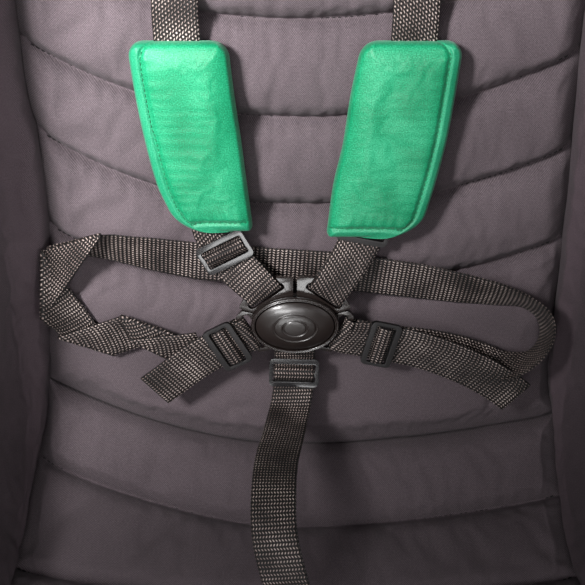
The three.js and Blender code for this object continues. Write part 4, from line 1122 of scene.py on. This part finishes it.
for tag, side, glide in (("left", -1, LEFT_GLIDE), ("right", 1, RIGHT_GLIDE)):
    bend = towards("shoulder_tongue_" + tag, glide, shoulder_tongue(side))
    web = ribbon("shoulder_web_" + tag, shoulder_route(side), 5 + side)
    wear(web, WEB, "seat", "shoulder_strap_" + tag, bend=bend)
wear(ribbon("waist_web_loop", waist_right_loop(), 22), WEB, "seat", "waist_belt")
wear(ribbon("waist_web_right", waist_right_route(), 21, hem="end"), WEB, "seat",
     bend=towards("waist_tongue_right", RIGHT_WAIST_GLIDE, waist_tongue(1)))
wear(ribbon("waist_web_left", waist_left_route(), 23, hem="start"), WEB, "seat",
     bend=towards("waist_tongue_left", LEFT_WAIST_GLIDE, waist_tongue(-1)))
for place, f in GLIDES.items():
    wear(ribbon("web_over_glide_" + place, hump(f), 41), WEB, "tri_glide_" + place)
wear(folded("waist_web_crumpled", CRUMPLED, 27), WEB, "seat")
wear(ribbon("crotch_web", crotch_route(), 31), WEB, "seat", "crotch_strap")


# ---------- plates with rounded edges ----------
def rounded_outline(points, radius, steps=5):
    """Corner rounding of a closed outline."""
    out = []
    for i in range(len(points)):
        a, b, c = (np.array(points[k % len(points)], float) for k in (i - 1, i, i + 1))
        r = min(radius, 0.49 * np.linalg.norm(b - a), 0.49 * np.linalg.norm(c - b))
        p, q = b + unit(a - b) * r, b + unit(c - b) * r
        for k in range(steps + 1):
            t = k / steps
            out.append(tuple((1 - t) ** 2 * p + 2 * t * (1 - t) * b + t * t * q))
    return out


def oblong(x, low, high, radius):
    """A rounded rectangle from -x to x and low to high."""
    return rounded_outline([(-x, low), (x, low), (x, high), (-x, high)], radius)


def flat_plate(name, outline, holes, z0, z1, bevel, matrix=Matrix.Identity(4)):
    """A plate with softened edges from a filled 2-D curve; outline in the local XY plane, millimetres."""
    curve = bpy.data.curves.new(name, "CURVE")
    curve.dimensions, curve.fill_mode = "2D", "BOTH"
    curve.extrude = (z1 - z0) / 2 * MM
    for loop in [outline, *holes]:
        spline = curve.splines.new("POLY")
        spline.points.add(len(loop) - 1)
        for point, (x, y) in zip(spline.points, loop):
            point.co = (x * MM, y * MM, 0, 1)
        spline.use_cyclic_u = True
    filled = add_object(name, curve)
    bpy.context.view_layer.update()
    mesh = bpy.data.meshes.new_from_object(filled.evaluated_get(bpy.context.evaluated_depsgraph_get()))
    bpy.data.objects.remove(filled)
    work = bmesh.new()
    work.from_mesh(mesh)
    bmesh.ops.remove_doubles(work, verts=work.verts, dist=2e-6)
    bmesh.ops.recalc_face_normals(work, faces=work.faces)
    sharp = [e for e in work.edges if e.is_manifold and e.calc_face_angle(0) > math.radians(50)]
    bmesh.ops.bevel(
        work, geom=sharp, offset=bevel * MM, segments=3, profile=0.6, affect="EDGES", clamp_overlap=True)
    work.to_mesh(mesh)
    work.free()
    mesh.transform(matrix @ Matrix.Translation((0, 0, (z0 + z1) / 2 * MM)))
    mesh.name = name
    plate = add_object(name, mesh)
    smooth_by_angle(plate, 30)
    return plate


def frame_matrix(f):
    """Row-frame matrix of an Axes: x across, y along, z off its face."""
    side = f.across if np.cross(f.across, f.along).dot(f.off) > 0 else -f.across
    rows = [[side[k], f.along[k], f.off[k], f.origin[k] * MM] for k in range(3)]
    local = Matrix([*rows, [0, 0, 0, 1]])
    return HARNESS @ local


def tri_glide(place, f, material):
    """A plate with two slots, one at each side of its middle bar."""
    obj = flat_plate(
        "glide_" + place, oblong(15.5, -9.5, 9.5, 3.6), [oblong(13.2, -6, -2, 1.4), oblong(13.2, 2, 6, 1.4)],
        -1.5, 1.5, 0.55, frame_matrix(f))
    wear(obj, material, "tri_glide_" + place, "tri_glide_" + place)


# The left shoulder and crotch glides take the lit copy, the others the painted-shade copy.
for place, f in GLIDES.items():
    tri_glide(place, f, GLIDE if place in ("shoulder_left", "crotch") else SHADED_GLIDE)


# ---------- buckle ----------
RING_POINTS = 96
BUTTON_RX, BUTTON_RY = 23.5, 16.35


def ordered(outline):
    area = sum(a[0] * b[1] - b[0] * a[1] for a, b in zip(outline, outline[1:] + outline[:1]))
    return outline if area > 0 else outline[::-1]


def tongue(name, side, f, outline, corner, outer):
    """A tongue plate with a webbing slot and, beyond it, a bar: (along, to one side, to the other)."""
    along, *ends = outer
    slot = [tuple(f.at(a, 0, b)[:2]) for a, b in ((-2.5, -12.9), (2.5, -12.9), (2.5, 12.9), (-2.5, 12.9))]
    inner, rest = outline
    bar = [tuple(f.at(along, 0, b)[:2]) for b in ends]
    shape = [(side * x, y) for x, y in inner] + bar + [(side * x, y) for x, y in rest]
    return flat_plate(
        name, rounded_outline(ordered(shape), corner), [rounded_outline(ordered(slot), 2.3)], -0.5, 3.6, 0.5)


SHOULDER_TONGUE = (
    [(1.2, 8), (1.2, 30.4), (8.6, 30.8)], [(33.6, 11.0), (33.2, 10.0), (25.2, 7.2), (16, 4.4), (8.5, 8)])
WAIST_TONGUE = (
    [(9, 2), (16, 3.6), (28.6, 7.5), (32, 8.4)], [(16.2, -19.6), (12.8, -16.6), (9, -9)])
HALF_T_FROM, HALF_T_WIDTH = 19 * MM, 16 * MM

for tag, side in SIDES:
    upper = tongue(
        "tongue_shoulder_" + tag, side, shoulder_tongue(side), SHOULDER_TONGUE, 1.6, (6, 12.9, -12.6))
    for vertex in upper.data.vertices:  # the half T bends down towards the pad
        x, y = abs(vertex.co.x), vertex.co.y
        vertex.co.z -= 0.14 * max(0.0, y - HALF_T_FROM) * fade(x, HALF_T_WIDTH) ** 0.5
    lower = tongue("tongue_waist_" + tag, side, waist_tongue(side), WAIST_TONGUE, 1.4, (5.2, -14.2, 14.0))
    for kind, plate in (("shoulder", upper), ("waist", lower)):
        node = "%s_tongue_%s" % (kind, tag)
        plate.data.transform(HARNESS)
        wear(plate, BUCKLE, node, node)


def elliptic_rings(name, rings):
    """A surface through (rx, ry, z) rings in harness coordinates; a ring with no radius closes an end."""
    turns = [2 * math.pi * i / RING_POINTS for i in range(RING_POINTS)]
    points = [(rx * math.cos(a), ry * math.sin(a), z) for rx, ry, z in rings for a in turns]
    obj = make(name, points, grid_faces(len(rings), RING_POINTS, True))
    obj.data.transform(HARNESS)
    return obj


def dome_height(k):
    return 13.3 - 3.6 * k**2.4 - 0.6 * k**8


def button():
    """A low dome with two plain oval grooves, each with a raised edge outside it."""
    grooves = [(0.30, 0.02, 0.32), (0.54, 0.018, 0.4)]
    edges = [(0.575, 0.012, 0.12), (0.335, 0.012, 0.14)]
    rings = [(0.001, 0.001, dome_height(0))]
    for k in np.linspace(0.02, 1.0, 120):
        cut = sum(size * bell(k - at, width) for at, width, size in grooves)
        raised = sum(size * bell(k - at, width) for at, width, size in edges)
        rounder = 1 + 0.06 / 0.70 * (1 - k)
        rings.append((BUTTON_RX * k, BUTTON_RY * k * rounder, dome_height(k) - cut + raised))
    rings += [(23.6, 16.45, 8.9), (23.6, 16.45, 7.3), (22.5, 15.4, 7.2), (0.001, 0.001, 7.2)]
    return elliptic_rings("button_dome", rings)


wear(button(), BUTTON, "buckle_button", "buckle_button")

RIM = [
    (24.15, 17.25, 5.9), (24.15, 17.25, 9.2), (24.35, 17.45, 9.7), (24.8, 17.85, 9.95), (25.1, 18.1, 9.6),
    (25.3, 18.3, 9.3), (25.5, 18.5, 9.5), (25.9, 18.85, 9.5), (26.25, 19.2, 9.1), (26.4, 19.35, 8.4),
    (26.4, 19.35, 6.4), (26.0, 19.0, 5.8), (24.15, 17.25, 5.9)]
WELL = [(0.001, 0.001, 3.8), (24.1, 17.2, 3.8), (24.1, 17.2, 5.8), (25.8, 18.8, 5.8), (25.6, 18.6, 4.2)]
HOUSING = [
    (0.001, 0.001, -1.1), (22.6, 16.6, -1.1), (23.4, 17.4, -1.9), (23.6, 17.6, -5), (23.0, 17.0, -9.5),
    (21.4, 15.4, -11), (18.5, 12.6, -11.2), (17.6, 11.8, -12.2), (15, 9.6, -12.5), (0.001, 0.001, -12.5)]
wear(elliptic_rings("buckle_rim", RIM), BUCKLE, "seat", "buckle_ring")
# The well is painted near-black as shade in the gap between the button and the rim.
wear(elliptic_rings("buckle_well", WELL), WELL_SHADE, "seat")
strap_foot = flat_plate(
    "housing_foot", oblong(17, -22, -10, 3), [oblong(13.4, -19.5, -15, 1.2)], -9, -3.2, 1.0, HARNESS)
housing = join("buckle_back", [elliptic_rings("housing_body", HOUSING), strap_foot])
wear(housing, BUCKLE, "seat", "buckle_housing")


# ---------- green shoulder pads ----------
PAD_PATH_Z = [(54, -7.6), (72, -8.6), (94, -9.4), (112, -9.8), (140, -10), (162, -10.6), (180, -11.2)]
PAD_EDGES = {
    -1: ([(57, 70.5), (72, 73.5), (88, 79.5), (115, 85), (144, 89), (176, 92)],
         [(57, 24.5), (72, 26), (95, 28.5), (119, 31), (144, 34), (176, 37)]),
    1: ([(57, 72.5), (71, 76.5), (90, 81), (117, 86), (144, 89), (176, 92)],
        [(57, 18.5), (63, 19.2), (88, 22), (113, 27), (144, 31), (176, 37)]),
}
BIND = 7.2  # width of the binding
PAD_EDGE, PAD_FULLNESS, PLEAT = 6.4, 5.4, 0.28
MOUTH_CORNER, TOP_CORNER = 15.5, 9


def shoulder_pad(side, name):
    """A folded sleeve of microfibre: bound on its outer edge and mouth, rolled on its inner edge."""
    outer_keys, inner_keys = PAD_EDGES[side]
    low, high = 59.4 if side < 0 else 55.6, 173.5
    ys, columns = low + (high - low) * graded(84), 61
    rows = len(ys)
    top, uv, bound_at = blank(rows, columns)
    under, _, soft = blank(rows, columns)
    for i, y in enumerate(ys):
        a, b = y - low, high - y
        top_cut = TOP_CORNER * (1 - quarter_round(b, TOP_CORNER))
        outer = through(outer_keys, y) - 23 * (1 - quarter_round(a, MOUTH_CORNER)) - top_cut
        inner = through(inner_keys, y) + 3.5 * (1 - quarter_round(a, 3.5)) + top_cut
        z = through(PAD_PATH_Z, y)
        for j, t in enumerate(0.5 - 0.5 * np.cos(math.pi * np.linspace(0.02, 0.98, columns))):
            x = inner + t * (outer - inner)
            corner = fade(a, 16) * fade(outer - x, 16)
            bound = min(outer - x, a + 2.5 * corner)
            edge = min(bound, x - inner, b)
            full = 1 - (1 - min(1.0, edge / 17)) ** 2.4
            height = PAD_EDGE * quarter_round(edge, 2.4) + PAD_FULLNESS * full
            height -= 2.0 * bell(bound - BIND, 1.1) * min(1.0, (x - inner) / 5)
            pleat = math.sin((y if bound == outer - x else x) / 0.95 + 2.0 * math.sin(y / 7.0))
            height += PLEAT * pleat * math.exp(-max(0.0, bound - BIND - 1) / 5.0) * (bound > BIND)
            height += 0.5 * math.sin(x / 6.0 + y / 17.0 + side) * full * bell(y - 88, 60)
            top[i, j] = (side * x, y, z + height)
            under[i, j] = (side * x, y, z - 2.2 - 3.4 * (1 - (1 - min(1.0, edge / 8)) ** 2))
            uv[i, j] = (x, y)
            bound_at[i, j] = bound
            soft[i, j] = 1 - min(0.9, max(0.0, min(edge, abs(bound - BIND)) / 9 - 0.3))
    faces = grid_faces(rows, columns)
    faces += [tuple(k + rows * columns for k in f[::-1]) for f in faces]
    index = np.arange(rows * columns).reshape(rows, columns)
    outline = [*index[0], *index[1:, -1], *index[-1, -2::-1], *index[-2:0:-1, 0]]
    for a, b in zip(outline, outline[1:] + outline[:1]):
        faces.append((b, a, a + rows * columns, b + rows * columns))
    if side < 0:
        faces = [f[::-1] for f in faces]
    points = np.concatenate([harness(top).reshape(-1, 3), harness(under).reshape(-1, 3)])
    obj = make(name, points, faces, np.concatenate([uv.reshape(-1, 2), uv.reshape(-1, 2) + 90]))
    bound = np.tile(bound_at.ravel() < BIND, 2)
    raised = top + np.array([0, 0, 0.25])
    line = []
    for i in range(rows - 6, 0, -1):
        near = np.abs(bound_at[i] - BIND)
        if near.min() < 1.2 and (top[i, near.argmin(), 0] * side > inner_keys[0][1] + 3):
            line.append(raised[i, near.argmin()])
    row = int(np.argmin(np.abs(ys - low - BIND)))
    corner_x = line[-1][0] * side
    line += [raised[row, j] for j in range(columns - 1, 2, -1) if top[row, j, 0] * side < corner_x - 2]
    thread = harness(np.array(line))
    sewn = stitches(name + "_stitches", thread, np.tile(BACK_NORMAL, (len(thread), 1)), 3.0, 2.1, 0.3)
    return obj, bound, np.concatenate([soft.ravel(), np.ones(rows * columns)]), sewn


for tag, side in SIDES:
    pad, bound, soft, sewn = shoulder_pad(side, "harness_pad_" + tag)
    inflate(pad, soft, 1.5, 0.0006, 0.006, 8)
    wear(pad, GREEN, "shoulder_pad_" + tag, "shoulder_pad_" + tag)
    wear(sewn, GREEN_THREAD, "shoulder_pad_" + tag)
    pad.data.materials.append(GREEN_BAND)
    for poly in pad.data.polygons:
        if bound[list(poly.vertices)].mean() > 0.6:
            poly.material_index = 1
    modify(pad, "SUBSURF", levels=1, render_levels=1)


# ---------- moulded and metal parts kept from the CAD ----------
KEPT = {
    SHELL: ("seat_shell", "rocker_left", "rocker_right", "headrest_shell", "headrest_carriage",
            "headrest_rack"),
    BASE: ("base_body",),
    RELEASE: ("headrest_handle", "recline_handle", "anchor_release_left", "anchor_release_right"),
    STEEL: ("headrest_latch_pin", "guide_rod_front", "guide_rod_rear", "recline_latch_bar",
            "recline_latch_spring", "anchor_arm_left", "anchor_arm_right", "anchor_pawl_left",
            "anchor_pawl_right", "shoulder_anchor_bar", "crotch_anchor_bar", "buckle_latch_plate",
            "buckle_spring"),
}
SOFT_EDGE = {"base_body": 3.0, "seat_shell": 1.2, "rocker_left": 1.5, "rocker_right": 1.5}
for material, nodes in KEPT.items():
    for node in nodes:
        obj = frame["nodes"][node]
        obj.data.materials.clear()
        obj.data.materials.append(material)
        smooth_by_angle(obj, 32)
        if "spring" not in node:
            modify(obj, "BEVEL", width=SOFT_EDGE.get(node, 0.8) * MM, segments=2, limit_method="ANGLE",
                   angle_limit=math.radians(40))


# ---------- studio ----------
def light(name, kind, place, target, power, color=(1, 1, 1), **settings):
    lamp = bpy.data.lights.new(name, kind)
    lamp.energy, lamp.color = power, color
    for k, v in settings.items():
        setattr(lamp, k, v)
    obj = add_object(name, lamp)
    obj.location = place
    obj.rotation_euler = (Vector(target) - Vector(place)).to_track_quat("-Z", "Y").to_euler()
    return obj


def spot(name, place, target, power, degrees, soft, color=(1, 1, 1)):
    return light(name, "SPOT", place, target, power, color,
                 shadow_soft_size=soft, spot_size=math.radians(degrees), spot_blend=1.0)


def area(name, place, target, size, power, color=(1, 1, 1)):
    return light(name, "AREA", place, target, power, color, shape="RECTANGLE", size=size[0], size_y=size[1])


PADS_AT = (0, 0.1, 0.29)
key = spot("key", (-0.5, -0.4, 1.2), (-0.37, 0.2, 0.77), 172, 73, 0.1, (1, 0.985, 0.99))
spot("left_roll", (0.3, -0.7, 1.0), (-0.205, 0.08, 0.43), 26, 18, 0.12)
area("front", (-0.1, -1.1, 1.3), PADS_AT, (0.8, 0.5), 5, (1, 0.98, 1))
for name, place, power in (("gloss_low", (-0.1, -1.4, 0.38), 4.2), ("gloss_high", (-0.35, -1.0, 1.05), 9)):
    area(name, place, PADS_AT, (0.5, 0.3), power).visible_diffuse = False
area("fill", (1.5, -0.9, 1.5), (0, 0.1, 0.4), (1.2, 1.2), 2.5, (0.95, 0.97, 1))
area("back", (0.6, 1.9, 1.5), (0, 0, 0.4), (1.2, 1.2), 20)

# The camera sees a paler surrounding than the one that lights the seat.
world = bpy.data.worlds.new("studio")
world.use_nodes = True
nodes, links = world.node_tree.nodes, world.node_tree.links
lit, seen = nodes["Background"], nodes.new("ShaderNodeBackground")
for background, color, strength in ((lit, (0.95, 0.95, 0.97, 1), 0.14), (seen, (0.9, 0.9, 0.91, 1), 0.75)):
    background.inputs[0].default_value, background.inputs[1].default_value = color, strength
mix, ray = nodes.new("ShaderNodeMixShader"), nodes.new("ShaderNodeLightPath")
links.new(ray.outputs["Is Camera Ray"], mix.inputs[0])
links.new(lit.outputs[0], mix.inputs[1])
links.new(seen.outputs[0], mix.inputs[2])
links.new(mix.outputs[0], nodes["World Output"].inputs[0])
bpy.context.scene.world = world
bpy.context.scene.view_settings.view_transform = "Standard"

FLOOR_HALF = 3000
corners = [(x * FLOOR_HALF, y * FLOOR_HALF, 0) for x, y in ((-1, -1), (1, -1), (1, 1), (-1, 1))]
floor = make("floor", corners, [(0, 1, 2, 3)])
floor.location.z = -0.5 * MM
look = Look("floor", (0.8, 0.8, 0.79, 1), 0.7)
look.ramp(look.noise(1.5, 2), [(0.3, (0.78, 0.78, 0.77)), (0.7, (0.82, 0.82, 0.81))])
floor.data.materials.append(look.mat)
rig.stage(floor)


def receivers(name, objects, state):
    """A collection for a light that lights only these objects, or all but these."""
    group = bpy.data.collections.new(name)
    for obj in objects:
        group.objects.link(obj)
    for member in group.collection_objects:
        member.light_linking.link_state = state
    return group


key.light_linking.receiver_collection = receivers(
    "not_lit_by_the_key", [floor, frame["nodes"]["headrest_handle"]], "EXCLUDE")
wash = area("floor_wash", (0.2, 0.2, 2.6), (0, 0, 0), (5, 5), 120)
wash.light_linking.receiver_collection = receivers("lit_by_the_wash", [floor], "INCLUDE")

camera = add_object("camera", bpy.data.cameras.new("camera"))
camera.data.sensor_width, camera.data.lens = 36, 72.7
camera.location = (-0.0015, -0.3265, 0.8694)
camera.rotation_euler = (math.radians(38), 0, 0)
bpy.context.scene.camera = camera

new_box = [list(corner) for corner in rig.bounds()]
with open("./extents.json", "w") as f:
    json.dump({"cad": cad_box, "visual": new_box}, f)
